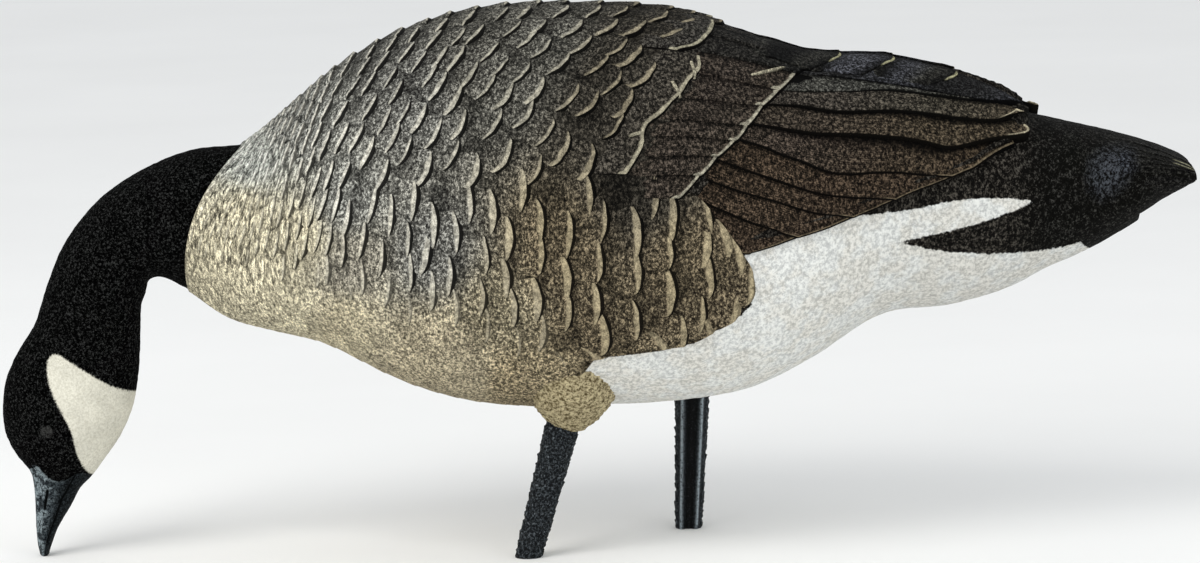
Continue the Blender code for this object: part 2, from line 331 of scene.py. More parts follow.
class Nodes:
    """Short ways to write a node tree."""

    def __init__(self, name, roughness=0.8, specular=0.3, sheen=0.0):
        self.mat = bpy.data.materials.new(name)
        self.mat.use_nodes = True
        self.tree = self.mat.node_tree
        self.bsdf = self.tree.nodes["Principled BSDF"]
        self.bsdf.inputs["Roughness"].default_value = roughness
        self.bsdf.inputs["Specular IOR Level"].default_value = specular
        if sheen:
            self.bsdf.inputs["Sheen Weight"].default_value = sheen
            self.bsdf.inputs["Sheen Roughness"].default_value = 0.4
        self.where = self.node("ShaderNodeTexCoord").outputs["Object"]

    def node(self, kind, **inputs):
        n = self.tree.nodes.new(kind)
        for key, value in inputs.items():
            self.put(n.inputs[key.replace("_", " ")], value)
        return n

    def put(self, socket, value):
        if isinstance(value, bpy.types.NodeSocket):
            self.tree.links.new(value, socket)
        else:
            socket.default_value = value

    def attr(self, name, colour=False):
        n = self.tree.nodes.new("ShaderNodeAttribute")
        n.attribute_type = "GEOMETRY"
        n.attribute_name = name
        return n.outputs["Color" if colour else "Fac"]

    def math(self, op, a, b=0.0, c=0.0, clamp=False):
        n = self.tree.nodes.new("ShaderNodeMath")
        n.operation = op
        n.use_clamp = clamp
        for i, v in enumerate((a, b, c)):
            self.put(n.inputs[i], v)
        return n.outputs[0]

    def step(self, x, low, high, to_low=0.0, to_high=1.0):
        """Smooth change from to_low to_high as x goes from low to high."""
        n = self.tree.nodes.new("ShaderNodeMapRange")
        n.interpolation_type = "SMOOTHSTEP"
        for key, v in (("Value", x), ("From Min", low), ("From Max", high), ("To Min", to_low), ("To Max", to_high)):
            self.put(n.inputs[key], v)
        return n.outputs[0]

    def line(self, x, low, high, to_low=0.0, to_high=1.0):
        n = self.tree.nodes.new("ShaderNodeMapRange")
        for key, v in (("Value", x), ("From Min", low), ("From Max", high), ("To Min", to_low), ("To Max", to_high)):
            self.put(n.inputs[key], v)
        return n.outputs[0]

    def noise(self, scale, detail=2.0, rough=0.5, vector=None, distortion=0.0):
        n = self.node("ShaderNodeTexNoise", Scale=scale, Detail=detail, Roughness=rough, Distortion=distortion)
        self.put(n.inputs["Vector"], vector if vector is not None else self.where)
        return n.outputs["Fac"]

    def cells(self, scale, feature="F1", vector=None, randomness=1.0):
        n = self.tree.nodes.new("ShaderNodeTexVoronoi")
        n.feature = feature
        n.inputs["Scale"].default_value = scale
        n.inputs["Randomness"].default_value = randomness
        self.put(n.inputs["Vector"], vector if vector is not None else self.where)
        return n.outputs["Distance"]

    def mix(self, amount, a, b, mode="MIX"):
        n = self.tree.nodes.new("ShaderNodeMix")
        n.data_type = "RGBA"
        n.blend_type = mode
        n.clamp_factor = True
        self.put(n.inputs[0], amount)
        for socket, v in ((n.inputs[6], a), (n.inputs[7], b)):
            if isinstance(v, tuple) and len(v) == 3:
                v = (*v, 1)
            self.put(socket, v)
        return n.outputs[2]

    def times(self, colour, amount):
        """Colour multiplied by a number."""
        n = self.tree.nodes.new("ShaderNodeVectorMath")
        n.operation = "SCALE"
        self.put(n.inputs[0], colour if isinstance(colour, bpy.types.NodeSocket) else colour[:3])
        self.put(n.inputs["Scale"], amount)
        return n.outputs[0]

    def vector(self, x, y, z):
        return self.node("ShaderNodeCombineXYZ", X=x, Y=y, Z=z).outputs[0]

    def stretched(self, sx, sy, sz, vector=None):
        n = self.node("ShaderNodeMapping", Scale=(sx, sy, sz))
        self.put(n.inputs["Vector"], vector if vector is not None else self.where)
        return n.outputs[0]

    def bump(self, height, distance, strength=1.0, under=None):
        n = self.node("ShaderNodeBump", Strength=strength, Distance=distance, Height=height)
        if under is not None:
            self.put(n.inputs["Normal"], under)
        return n.outputs[0]

    def done(self, colour, normal=None, roughness=None):
        self.put(self.bsdf.inputs["Base Color"], colour)
        if normal is not None:
            self.put(self.bsdf.inputs["Normal"], normal)
        if roughness is not None:
            self.put(self.bsdf.inputs["Roughness"], roughness)
        return self.mat


# ------------------------------------------------------------ colour of paint
# a dozen paints, each with its ground and the lighter tone of the feathers'
# pale edges, and where on the side view each is laid; they blend in between
PAINTS = {
    "cream": ((0.54, 0.490, 0.350), (0.80, 0.74, 0.56)),
    "straw": ((0.49, 0.435, 0.300), (0.70, 0.65, 0.49)),
    "ash": ((0.35, 0.360, 0.325), (0.99, 0.98, 0.90)),
    "grey": ((0.20, 0.200, 0.180), (0.86, 0.83, 0.72)),
    "fawn": ((0.27, 0.250, 0.200), (0.72, 0.67, 0.54)),
    "slate": ((0.12, 0.118, 0.106), (0.70, 0.67, 0.57)),
    "smoke": ((0.084, 0.081, 0.069), (0.54, 0.51, 0.41)),
    "umber": ((0.026, 0.023, 0.018), (0.37, 0.32, 0.22)),
    "brown": ((0.095, 0.076, 0.048), (0.48, 0.400, 0.25)),
    "hazel": ((0.19, 0.165, 0.110), (0.50, 0.44, 0.31)),
    "tan": ((0.39, 0.340, 0.235), (0.55, 0.50, 0.37)),
    "buff": ((0.26, 0.215, 0.135), (0.48, 0.42, 0.30)),
}
LAID = (
    ("cream", (212, 262)), ("cream", (245, 215)), ("cream", (280, 310)), ("cream", (300, 240)), ("straw", (345, 325)),
    ("ash", (250, 160)), ("grey", (300, 120)), ("grey", (345, 200)), ("fawn", (350, 265)),
    ("slate", (410, 100)), ("slate", (430, 250)), ("smoke", (490, 80)), ("smoke", (540, 26)),
    ("umber", (620, 90)), ("umber", (700, 60)), ("umber", (640, 178)),
    ("brown", (560, 250)), ("brown", (690, 270)), ("brown", (590, 340)),
    ("hazel", (500, 320)), ("tan", (430, 350)), ("tan", (470, 375)), ("buff", (510, 380)), ("buff", (572, 372)),
)


def paint_at(view, which):
    """Ground (1) or edge (2) colour at side-view points, blended between the
    places where the paints are laid."""
    flat = np.asarray(view, float).reshape(-1, 2)
    at = np.array([place for _, place in LAID], float)
    value = np.log(np.array([PAINTS[name][which - 1] for name, _ in LAID]) * (0.80 if which == 2 else 1.0))
    d2 = ((flat[:, None, :] - at[None]) ** 2 * np.array([1.0, 0.8])).sum(-1)
    w = 1 / (d2 + 120.0) ** 2.0
    out = np.exp((w @ value) / w.sum(1, keepdims=True))
    return out.reshape(np.asarray(view).shape[:-1] + (3,))


def grit_of(ground):
    """How strongly the paint is speckled: less where it is light."""
    return np.clip(1.24 - 1.35 * ground[..., 1], 0.66, 1.12)


# ----------------------------------------------------- relief of the big forms


def wing_rise(u, theta):
    """Height of the folded wing over the body's surface, its edges left open."""
    th = np.degrees(np.abs(theta))
    top, low = between(WING_TOP, u), between(WING_LOW, u)
    s = (th - top) / np.maximum(low - top, 1)
    a, b = between(WING_RISE_TOP, u), between(WING_RISE_LOW, u)
    return np.maximum(a + (b - a) * smooth(s), 0) * (np.asarray(u) > 6.6)


def flank_rise(u, theta):
    th = np.degrees(np.abs(theta))
    top, low = between(FLANK_TOP, u), between(FLANK_LOW, u)
    s = (th - top) / np.maximum(low - top, 1)
    return 3.0 * smooth((u - FLANK_START) / 1.2) * smooth(s * 3.0)


def front_rise(u, theta):
    """Lift under the front feathers: flank lobe and the start of the wing."""
    return np.maximum(flank_rise(u, theta), wing_rise(np.minimum(u, 8.6), theta) * (np.degrees(np.abs(theta)) < 70))


def shell_rise(u, theta):
    th = np.degrees(np.abs(theta))
    r = girth(u) * math.pi / 180
    top, low = between(WING_TOP, u), between(WING_LOW, u)
    edge = np.minimum((low - th) * r - 1.0, (12.30 - u) * 37.0)
    mask = smooth((edge + 0.5) / 3.0)
    inner = smooth(((th - top) * r + 1.5) / 5.0)
    gap = smooth((u - 10.0) / 1.2)
    wing = wing_rise(u, theta) * mask * (1 - gap * (1 - inner))
    low = between(FLANK_LOW, u)
    edge = np.minimum((low - th) * r, (8.08 - u) * 44.0)
    flank = flank_rise(u, theta) * smooth(edge / 3.0) * (u > FLANK_START)
    # a hollow under the long feathers, so that only they show
    cover = smooth(((between(WING_LOW, u) - th) * r - 4) / 5)
    cover = cover * smooth(((th - top) * r - 3) / 5) * smooth((u - 7.3) / 0.3) * smooth((12.05 - u) / 0.15)
    wing = wing - 2.6 * cover
    # end of the feathers under the tail, where the tail blade begins
    under = smooth((th - 112) / 14) * smooth((u - 12.4) / 1.0) * smooth((14.55 - u) / 0.06) * 2.6
    return np.where(cover > 0.02, wing, np.maximum(wing, flank)) + under


# ------------------------------------------------------------------ the shell
ALONG, AROUND = 380, 248
fine = np.linspace(0, 17, 1701)
length = np.concatenate([[0], np.cumsum(np.linalg.norm(np.diff(skin(fine, 1.4), axis=0), axis=1))])
us = np.interp(np.linspace(0, length[-1], ALONG), length, fine)
thetas = np.arange(AROUND) * 2 * math.pi / AROUND
thetas = np.where(thetas > math.pi, thetas - 2 * math.pi, thetas)
uu, tt = np.meshgrid(us, thetas, indexing="ij")
view = side_view(skin(uu, tt))
tract = distance_inside(view, rounded(FRONT_TRACT, 3))
rise = shell_rise(uu, tt) - 0.55 * smooth(tract / 3.0) * smooth(uu / 0.25)
grain = noise(skin(uu, tt), 3.2, 1) * 0.16 + noise(skin(uu, tt), 7.0, 2) * 0.22
shell = lifted(uu, tt, rise + grain * smooth(uu / 0.3) * smooth((16.9 - uu) / 0.5))
view = side_view(shell)
white = distance_inside(view, WHITE_FIELD)
# the seat for the neck: the rim turns in and goes down inside
lip = []
centre = shell[0].mean(0)
inward = np.array([0.93, 0.0, -0.37])
for depth, share in ((1.2, 0.975), (4.0, 0.955), (9.5, 0.94)):
    lip.append(centre + (shell[0] - centre) * share + inward * depth)
tail_end = []
centre = shell[-1].mean(0)
for depth, share in ((0.5, 0.86), (0.7, 0.5)):
    tail_end.append(centre + (shell[-1] - centre) * share + np.array([depth, 0, 0]))
rings = np.concatenate([np.array(lip[::-1]), shell, np.array(tail_end)])
n_rings = len(rings)
points = np.concatenate([rings.reshape(-1, 3), [rings[0].mean(0)], [rings[-1].mean(0)]])
grid = np.arange(n_rings * AROUND).reshape(n_rings, AROUND)
nxt = np.roll(grid, -1, axis=1)
quads = np.stack([grid[:-1], grid[1:], nxt[1:], nxt[:-1]], -1).reshape(-1, 4)
hub_a, hub_b = n_rings * AROUND, n_rings * AROUND + 1
cap_a = np.stack([np.full(AROUND, hub_a), grid[0], nxt[0]], -1)
cap_b = np.stack([np.full(AROUND, hub_b), nxt[-1], grid[-1]], -1)


def padded_rows(a, fill_a, fill_b):
    """Values on the shell grid extended to the rim, the tail's end and hubs."""
    a = np.concatenate([np.repeat(a[:1], len(lip), 0), a, np.repeat(a[-1:], len(tail_end), 0)])
    a = a.reshape(-1, *a.shape[2:])
    return np.concatenate([a, [fill_a], [fill_b]])


ground = paint_at(view, 1)


def painted_sheen_at(view):
    """How far, in mm, side-view points are inside the blue-grey sheen painted on the tail."""
    return distance_inside(view, ((1091, 160), (1103, 149), (1118, 147), (1131, 152), (1133, 166), (1126, 182), (1113, 194), (1101, 199), (1091, 190), (1088, 175)))


# UV: a plain unrolled grid, the two caps in their own corners
gu = np.linspace(0.03, 0.97, n_rings)
gv = np.linspace(0.0, 1.0, AROUND + 1) * 0.94 + 0.03
i_, j_ = np.meshgrid(np.arange(n_rings - 1), np.arange(AROUND), indexing="ij")
quad_uv = np.stack([
    np.stack([gu[i_], gv[j_]], -1), np.stack([gu[i_ + 1], gv[j_]], -1),
    np.stack([gu[i_ + 1], gv[j_ + 1]], -1), np.stack([gu[i_], gv[j_ + 1]], -1)], 2).reshape(-1, 2)
ang = np.arange(AROUND + 1) * 2 * math.pi / AROUND


def cap_uv(cx, cy, r):
    j = np.arange(AROUND)
    return np.stack([
        np.stack([np.full(AROUND, cx), np.full(AROUND, cy)], -1),
        np.stack([cx + r * np.cos(ang[j]), cy + r * np.sin(ang[j])], -1),
        np.stack([cx + r * np.cos(ang[j + 1]), cy + r * np.sin(ang[j + 1])], -1)], 1).reshape(-1, 2)


uv = np.concatenate([quad_uv, cap_uv(0.012, 0.012, 0.01), cap_uv(0.988, 0.012, 0.01)])
view_x = padded_rows(view[..., 0], view[0, 0, 0], view[-1, 0, 0])
body_shell = mesh_of(
    "body_shell", points, [quads, np.concatenate([cap_a, cap_b])],
    {"white": padded_rows(white, -9, -9), "rear": view_x, "sheen": padded_rows(painted_sheen_at(view), -9, -9),
     "grit": padded_rows(grit_of(ground), 0.3, 1.0), "turn": padded_rows(np.degrees(np.abs(tt)), 90, 90)},
    {"ground": padded_rows(ground, ground[0, 0], ground[-1, 0])},
    uv,
)


def shell_material():
    m = Nodes("shell_paint", roughness=0.9, specular=0.06)
    along = m.stretched(1.0, 0.8, 0.75)
    lumps = m.noise(430, 4, 0.75, along)
    speck = m.noise(1000, 3, 0.7, along)
    ragged = m.math("MULTIPLY_ADD", lumps, 4.4, -2.2)
    edge = m.math("ADD", m.attr("white"), ragged)
    is_white = m.step(edge, -0.4, 0.4)
    broad = m.noise(60, 4, 0.6)
    # white: dusty, mottled, with small grey pits
    round_lumps = m.noise(400, 4, 0.68)
    pits = m.step(m.math("ADD", m.math("MULTIPLY", round_lumps, 0.75), m.math("MULTIPLY", m.noise(1100, 2, 0.6), 0.25)), 0.38, 0.60)
    white_c = m.mix(pits, (0.43, 0.425, 0.39), (0.76, 0.745, 0.69))
    white_c = m.mix(m.step(broad, 0.42, 0.60), white_c, m.mix(pits, (0.47, 0.48, 0.47), (0.79, 0.80, 0.765)))
    # painted shade: the white darker towards the rear
    white_c = m.times(white_c, m.line(m.attr("rear"), 780, 940, 1.0, 0.89))
    # black: brown-black at the wing, a painted blue sheen over the tail
    rear, turn = m.attr("rear"), m.attr("turn")
    dots = m.math("ADD", m.math("MULTIPLY", lumps, 0.6), m.math("MULTIPLY", speck, 0.4))
    black_c = m.mix(m.step(dots, 0.50, 0.64), (0.0015, 0.0015, 0.001), (0.046, 0.045, 0.040))
    brownish = m.mix(m.step(dots, 0.48, 0.64), (0.0022, 0.0019, 0.0015), (0.090, 0.081, 0.067))
    black_c = m.mix(m.step(rear, 1000, 1050), brownish, black_c)
    # painted sheen: blue-grey speckles inside the sheen patch on the tail
    blue = m.math("MULTIPLY", m.step(m.attr("sheen"), -6.0, 9.0), m.step(dots, 0.44, 0.60))
    black_c = m.mix(m.math("MULTIPLY", blue, 0.95), black_c, (0.062, 0.069, 0.081))
    # tan ground under and between the small feathers
    level = m.math("ADD", m.math("MULTIPLY_ADD", lumps, 13.0, -6.7), m.math("MULTIPLY_ADD", speck, 8.0, -4.2))
    level = m.math("POWER", 2.0, m.math("MULTIPLY", level, m.attr("grit")))
    tan = m.times(m.attr("ground", True), m.math("MINIMUM", m.math("MULTIPLY", level, 0.85), 2.6))
    base = m.mix(m.step(rear, 650, 700), tan, black_c)
    colour = m.mix(is_white, base, white_c)
    height = m.math("ADD", m.math("MULTIPLY", round_lumps, 1.2), m.math("MULTIPLY", speck, 0.4))
    return m.done(colour, m.bump(height, 0.0009, m.line(is_white, 0, 1, 0.9, 0.55)))


add(body_shell, shell_material(), "body")

# ------------------------------------------------- feathers in general (scales)
# Each scale is a closed shell: a rounded top that rises from under the scale
# before it to its own edge, a steep wall there, and a flat underside.


class Tract:
    """Gathers scales or blades and makes one mesh of them."""

    def __init__(self):
        self.points, self.tris, self.quads = [], [], []
        self.floats, self.colours = [], []
        self.tri_uv, self.quad_uv = [], []
        self.count = 0
        self.cells = 0

    def add(self, points, tris, quads, floats, colours, tri_uv, quad_uv):
        """points (N, V, 3) for N like pieces; faces index 0..V-1; uv inside a
        unit cell, one pair a corner, shared by all N."""
        n, v = points.shape[:2]
        shift = self.count + np.arange(n)[:, None, None] * v
        self.points.append(points.reshape(-1, 3))
        self.tris.append((np.asarray(tris)[None] + shift).reshape(-1, 3))
        self.quads.append((np.asarray(quads)[None] + shift).reshape(-1, 4))
        self.floats.append({k: np.asarray(a).reshape(-1) for k, a in floats.items()})
        self.colours.append({k: np.asarray(a).reshape(-1, 3) for k, a in colours.items()})
        cell = self.cells + np.arange(n)
        self.tri_uv.append((cell, np.asarray(tri_uv, float)))
        self.quad_uv.append((cell, np.asarray(quad_uv, float)))
        self.count += n * v
        self.cells += n

    def build(self, name):
        side = max(1, math.ceil(math.sqrt(self.cells)))

        def placed(parts):
            out = []
            for cell, uv in parts:
                at = np.stack([cell % side, cell // side], -1)[:, None, :]
                out.append(((at + 0.06 + uv[None] * 0.88) / side).reshape(-1, 2))
            return np.concatenate(out)

        floats = {k: np.concatenate([f[k] for f in self.floats]) for k in self.floats[0]}
        colours = {k: np.concatenate([c[k] for c in self.colours]) for k in self.colours[0]}
        return mesh_of(
            name, np.concatenate(self.points),
            [np.concatenate(self.tris), np.concatenate(self.quads)],
            floats, colours,
            np.concatenate([placed(self.tri_uv), placed(self.quad_uv)]),
        )


def frames(u, theta):
    """Metric of the surface at (u, theta): mm along u, shear and mm round."""
    e = 0.02
    eu = (skin(u + e, theta) - skin(u - e, theta)) / (2 * e)
    et = (skin(u, theta + e) - skin(u, theta - e)) / (2 * e)
    lu = np.linalg.norm(eu, axis=-1)
    e1 = eu / lu[..., None]
    shear = (et * e1).sum(-1)
    lt = np.linalg.norm(et - shear[..., None] * e1, axis=-1)
    return lu, shear, lt


def offset(u, theta, metric, x, y):
    """(u, theta) moved by x mm rearward and y mm downward on the surface."""
    lu, shear, lt = metric
    dt = y / lt
    return u + (x - dt * shear) / lu, theta + dt


def kept_inside(u, theta, outline, lift):
    """(u, theta) of points that fall past an outline of the side view, moved
    square to it onto the outline."""
    for _ in range(2):
        metric = frames(u, theta)
        here = distance_inside(side_view(lifted(u, theta, lift(u, theta))), outline)
        u1, t1 = offset(u, theta, metric, 0.7, 0.0)
        u2, t2 = offset(u, theta, metric, 0.0, 0.7)
        gx = (distance_inside(side_view(lifted(u1, t1, lift(u1, t1))), outline) - here) / 0.7
        gy = (distance_inside(side_view(lifted(u2, t2, lift(u2, t2))), outline) - here) / 0.7
        g2 = np.maximum(gx**2 + gy**2, 0.12)
        step = np.clip(-here, 0, 14) / g2
        u, theta = offset(u, theta, metric, gx * step, gy * step)
        u = np.clip(u, 0.02, 16.9)
    return u, theta


def scale_set(tract, tips, side, sectors, ring_at, lift, outline=None):
    """Adds scales. tips holds arrays: u, theta (rad), lean (rad, + down), row
    (mm from one row to the next), wide (mm between neighbours), high (mm),
    band (mm of pale edge), bias (-1..1, where along the edge it is strongest),
    dark (0..1, strength of the painted shade behind and below the edge),
    root (mm the wall goes down), skirt (mm of slope below the edge, painted as
    shadow)."""
    u, theta, lean = tips["u"], tips["theta"], tips["lean"]
    n = len(u)
    if not n:
        return
    row, wide, high = tips["row"], tips["wide"], tips["high"]
    metric = frames(u, theta)
    # outline: a flat arc at the tip, in mm from the middle of the scale
    front = int(sectors * 0.68)
    even = np.linspace(-1, 1, front + 1)
    phi = np.concatenate([
        0.5 * (even * 0.5 * math.pi + np.arcsin(even)),
        np.linspace(0.5 * math.pi, 1.5 * math.pi, sectors - front + 1)[1:-1]])
    sectors = len(phi)
    ca, sa = np.cos(phi), np.sin(phi)
    power = np.where(ca > 0, 2 / 2.0, 2 / 2.6)
    shape_a = np.sign(ca) * np.abs(ca) ** power
    shape_b = np.sign(sa) * np.abs(sa) ** power
    tip_len, base_len, half = row * tips["point"], row * 1.8, wide * tips["broad"]
    seed = tips["seed"]
    wave = (1 + 0.030 * np.sin(3 * phi[None] + seed[:, None] * 40) + 0.022 * np.sin(6 * phi[None] + seed[:, None] * 90)
            + 0.012 * np.sin(11 * phi[None] + seed[:, None] * 70))
    oa = np.where(ca > 0, tip_len[:, None], base_len[:, None]) * shape_a[None] * wave
    ob = half[:, None] * shape_b[None] * (2 - wave)
    # distance from the middle to the edge, measured square to the edge
    da = np.roll(oa, -1, 1) - np.roll(oa, 1, 1)
    db = np.roll(ob, -1, 1) - np.roll(ob, 1, 1)
    size = np.maximum(np.hypot(da, db), 1e-6)
    reach = np.abs(oa * db - ob * da) / size
    out_a, out_b = db / size, -da / size
    flip = np.sign(out_a * oa + out_b * ob)
    out_a, out_b = out_a * flip, out_b * flip
    te = ob / half[:, None]
    taper = np.clip(1 - np.abs((te - tips["bias"][:, None]) / tips["spread"][:, None]) ** 2.6, 0, 1) * (ca > 0.05)[None]
    slope = tips["skirt"][:, None] * (0.14 + 0.86 * taper) * np.ones_like(reach)
    layers = [(oa * r, ob * r, reach * (1 - r)) for r in ring_at]
    layers.append((oa + out_a * slope, ob + out_b * slope, -slope))
    grow = slope + 0.25
    layers.append((oa + out_a * grow, ob + out_b * grow, -grow - 0.4))
    k = len(layers)
    kinds = np.array([0] * len(ring_at) + [1, 2])
    la = np.stack([x[0] for x in layers], 1).reshape(n, -1)
    lb = np.stack([x[1] for x in layers], 1).reshape(n, -1)
    ld = np.stack([x[2] for x in layers], 1).reshape(n, -1)
    kind = np.broadcast_to(kinds[None, :, None], (n, k, sectors)).reshape(n, -1)
    la = np.concatenate([np.zeros((n, 1)), la, np.zeros((n, 1))], 1)
    lb = np.concatenate([np.zeros((n, 1)), lb, np.zeros((n, 1))], 1)
    middle = reach[:, :front].mean(1, keepdims=True)
    ld = np.concatenate([middle, ld, np.full((n, 1), -3.0)], 1)
    kind = np.concatenate([np.zeros((n, 1)), kind, np.full((n, 1), 2)], 1)
    # heights over the surface, by the distance x in front of the tip
    t = lb / half[:, None]
    x = (tip_len[:, None] - la) / row[:, None]
    h = np.where(x < 1, 1 - x, -0.30 * (x - 1)) - 1.5 * smooth((x - 1.75) / 0.75)
    h = h - tips["sink"][:, None] * smooth((np.abs(t) - 0.66) / 0.34) + 0.20 * t * tips["tilt"][:, None]
    h = high[:, None] * h
    # a low ridge along the shaft, and small unevenness
    h += 0.14 * high[:, None] * np.exp(-(lb / (0.10 * half[:, None])) ** 2) * smooth((1.1 - x) / 0.6)
    h = np.where(kind == 1, np.minimum(h - 0.2, -0.05 * high[:, None]) , h)
    h = np.where(kind == 2, -tips["root"][:, None], h)
    # place: the tip is at (u, theta), the middle tip_len behind it
    along = la - tip_len[:, None]
    cl, sl = np.cos(lean)[:, None], np.sin(lean)[:, None]
    m3 = tuple(a[:, None] for a in metric)
    pu, pt = offset(u[:, None], theta[:, None], m3, along * cl - lb * sl, along * sl + lb * cl)
    pu = np.clip(pu, 0.02, 16.9)
    if outline is not None:
        near = tips["inside"] < 26
        if near.any():
            pu[near], pt[near] = kept_inside(pu[near], pt[near], outline, lift)
    rough = noise(skin(pu, pt), 2.6, 21) * 0.16 + noise(skin(pu, pt), 5.5, 22) * 0.20
    p = lifted(pu, pt, lift(pu, pt) + h + rough * np.where(kind == 2, 0, 1) * np.minimum(high[:, None], 1.2))
    view = side_view(p)
    # faces
    j = np.arange(sectors)
    jn = (j + 1) % sectors
    ring = lambda i, jj: 1 + i * sectors + jj
    tris = [np.stack([np.zeros(sectors, int), ring(0, j), ring(0, jn)], -1),
            np.stack([np.full(sectors, 1 + k * sectors), ring(k - 1, jn), ring(k - 1, j)], -1)]
    quads = [np.stack([ring(i, j), ring(i + 1, j), ring(i + 1, jn), ring(i, jn)], -1) for i in range(k - 1)]
    # uv: the outline fills the cell, the underside a small disc in its corner
    radii = np.array(list(np.array(ring_at) * 0.88) + [0.96, 1.0])

    def uv_of(v):
        v = np.asarray(v)
        out = np.zeros(v.shape + (2,))
        i, jj = (v - 1) // sectors, (v - 1) % sectors
        ok = (v > 0) & (v < 1 + k * sectors)
        rr = np.where(ok, radii[np.clip(i, 0, k - 1)], 0) * 0.5
        jj = np.clip(jj, 0, sectors - 1)
        out[..., 0] = 0.5 + rr * shape_a[jj]
        out[..., 1] = 0.5 + rr * shape_b[jj]
        return out

    uv_t = uv_of(tris[0])
    under = np.stack([np.full((sectors, 2), 0.5), np.stack([0.5 + 0.5 * np.cos(phi[jn]), 0.5 + 0.5 * np.sin(phi[jn])], -1),
                      np.stack([0.5 + 0.5 * np.cos(phi[j]), 0.5 + 0.5 * np.sin(phi[j])], -1)], 1) * 0.05
    uv_q = [uv_of(q) for q in quads]
    fade = np.clip(1 - np.abs((t - tips["bias"][:, None]) / tips["spread"][:, None]) ** tips["blunt"][:, None], 0, 1)
    band = tips["band"][:, None] * fade * (la > 0)
    floats = {
        "edge": ld, "band": band, "fa": (tip_len[:, None] - la), "fb": lb,
        "row": np.broadcast_to(row[:, None], ld.shape), "seed": np.broadcast_to(seed[:, None], ld.shape),
        "dark": np.broadcast_to(tips["dark"][:, None], ld.shape), "hatch": np.zeros(ld.shape),
        "dash": np.broadcast_to(tips["dash"][:, None], ld.shape),
        "grit": grit_of(paint_at(view, 1)),
    }
    colours = {"ground": paint_at(view, 1), "pale": paint_at(view, 2)}
    tris = np.concatenate(tris)
    quads = np.concatenate(quads)
    if side < 0:
        p = p * np.array([1, -1, 1])
        tris, quads = tris[:, ::-1], quads[:, ::-1]
        t_uv = np.concatenate([uv_t, under])[:, ::-1].reshape(-1, 2)
        q_uv = np.concatenate(uv_q)[:, ::-1].reshape(-1, 2)
    else:
        t_uv = np.concatenate([uv_t, under]).reshape(-1, 2)
        q_uv = np.concatenate(uv_q).reshape(-1, 2)
    tract.add(p, tris, quads, floats, colours, t_uv, q_uv)


# --------------------------------------------------- rows of the small feathers
# A row crosses the body from the back to the belly. LEAN says how far a row
# sweeps back of its rib at each 15 degrees round, in ribs, and SWEEP how much
# of that holds at each row.
SEAM = 74.5  # degrees round, where the back ends and the flank begins
LEAN = (1.75, 1.62, 1.24, 0.80, 0.42, 0.18, 0.02, -0.03, 0.10, 0.40, 0.75, 1.00, 1.10)
SWEEP = ((-1, 0.30), (1, 0.30), (2.2, 0.42), (3.45, 0.78), (5.36, 1.0), (9, 1.0))
ROW_PITCH = ((-1, 5.0), (0, 5.2), (1.3, 6.6), (2.2, 8.6), (3.0, 11.0), (3.9, 14.0), (4.55, 16.5), (5.1, 18.5), (6.2, 20.0), (8, 19.0))
SIDE_PITCH = ((-1, 13), (0, 14), (1.3, 18), (2.2, 21), (3.0, 22.5), (3.9, 23.5), (4.55, 24.0), (5.1, 24.5), (6.2, 25.5), (8, 25.5))
lean_rows = np.array(LEAN)[:, None]


def lean_at(theta):
    return hermite(lean_rows, np.degrees(theta) / 15.0)[..., 0]


def row_line(q, theta):
    return q + between(SWEEP, q) * lean_at(theta)


rng = np.random.default_rng(11)
around = np.radians(np.linspace(0, 180, 721))
rows_q = [-0.55]
while rows_q[-1] < 8.4:
    q = rows_q[-1]
    lu = np.linalg.norm(skin(q + 0.55, 1.4) - skin(q + 0.45, 1.4)) / 0.1 if q > 0 else 40.0
    rows_q.append(q + between(ROW_PITCH, q) / lu)
tips = []
for k, q in enumerate(rows_q):
    line_u = row_line(q, around)
    path = skin(np.clip(line_u, 0, 17), around)
    run = np.concatenate([[0], np.cumsum(np.linalg.norm(np.diff(path, axis=0), axis=1))])
    wide = float(between(SIDE_PITCH, q))
    odd = k % 2
    if q < 3.0:
        count = max(3, round(run[-1] / wide))
        step = run[-1] / (count + 0.5 * odd)
        at = (np.arange(count + 1) + 0.5 * odd) * step
        at = at[at < run[-1] - 0.2 * step]
    else:
        # the back and the flank are laid apart, with a seam between them
        seam = float(np.interp(math.radians(SEAM), around, run))
        count = round((seam / wide - 0.5 - 0.5 * odd))
        step = seam / (count + 0.5 + 0.5 * odd)
        upper_part = seam - (0.40 + 0.5 * odd + np.arange(count + 1)) * step
        upper_part = upper_part[upper_part > -0.2 * step]
        upper_part = np.where(upper_part < 0.25 * step, 0.0, upper_part)
        step = wide
        lower_part = seam + (0.42 + 0.5 * odd + np.arange(40)) * step
        at = np.concatenate([upper_part, lower_part[lower_part < run[-1] - 0.3 * step]])
    for s in at:
        th = float(np.interp(s, run, around))
        mid = s < 0.1 * step
        jitter = rng.uniform(-1, 1, 4)
        if not mid:
            th += math.radians(jitter[0] * (0.06 + 0.09 * float(smooth((q - 1.2) / 2.0))) * math.degrees(step / 100.0))
        uq = float(row_line(q, np.array(th))) + jitter[1] * (0.10 + 0.10 * float(smooth((q - 1.2) / 2.0))) * (rows_q[min(k + 1, len(rows_q) - 1)] - q)
        if uq < 0.06:
            continue
        e = 0.02
        slope = (float(row_line(q, np.array(th + e))) - float(row_line(q, np.array(abs(th - e))))) / (2 * e)
        tips.append((uq, th, q, slope, wide, mid, k, jitter[2], jitter[3]))
tips = np.array([[float(x) for x in t] for t in tips])
tu, tth, tq, tslope, twide, tmid, trow_no, tj2, tj3 = tips.T
lu, shear, lt = frames(tu, tth)
# square to the row, pointing rearward
t1 = tslope * lu + shear
lean = np.arctan2(-t1, lt)
lean = np.where(tmid > 0.5, 0.0, lean + np.radians(4.0) * tj2)
row = between(ROW_PITCH, tq)
deg = np.degrees(tth)
on_back = (deg < SEAM) * smooth((tq - 2.0) / 1.5)
lean = lean * (1 - 0.32 * on_back)
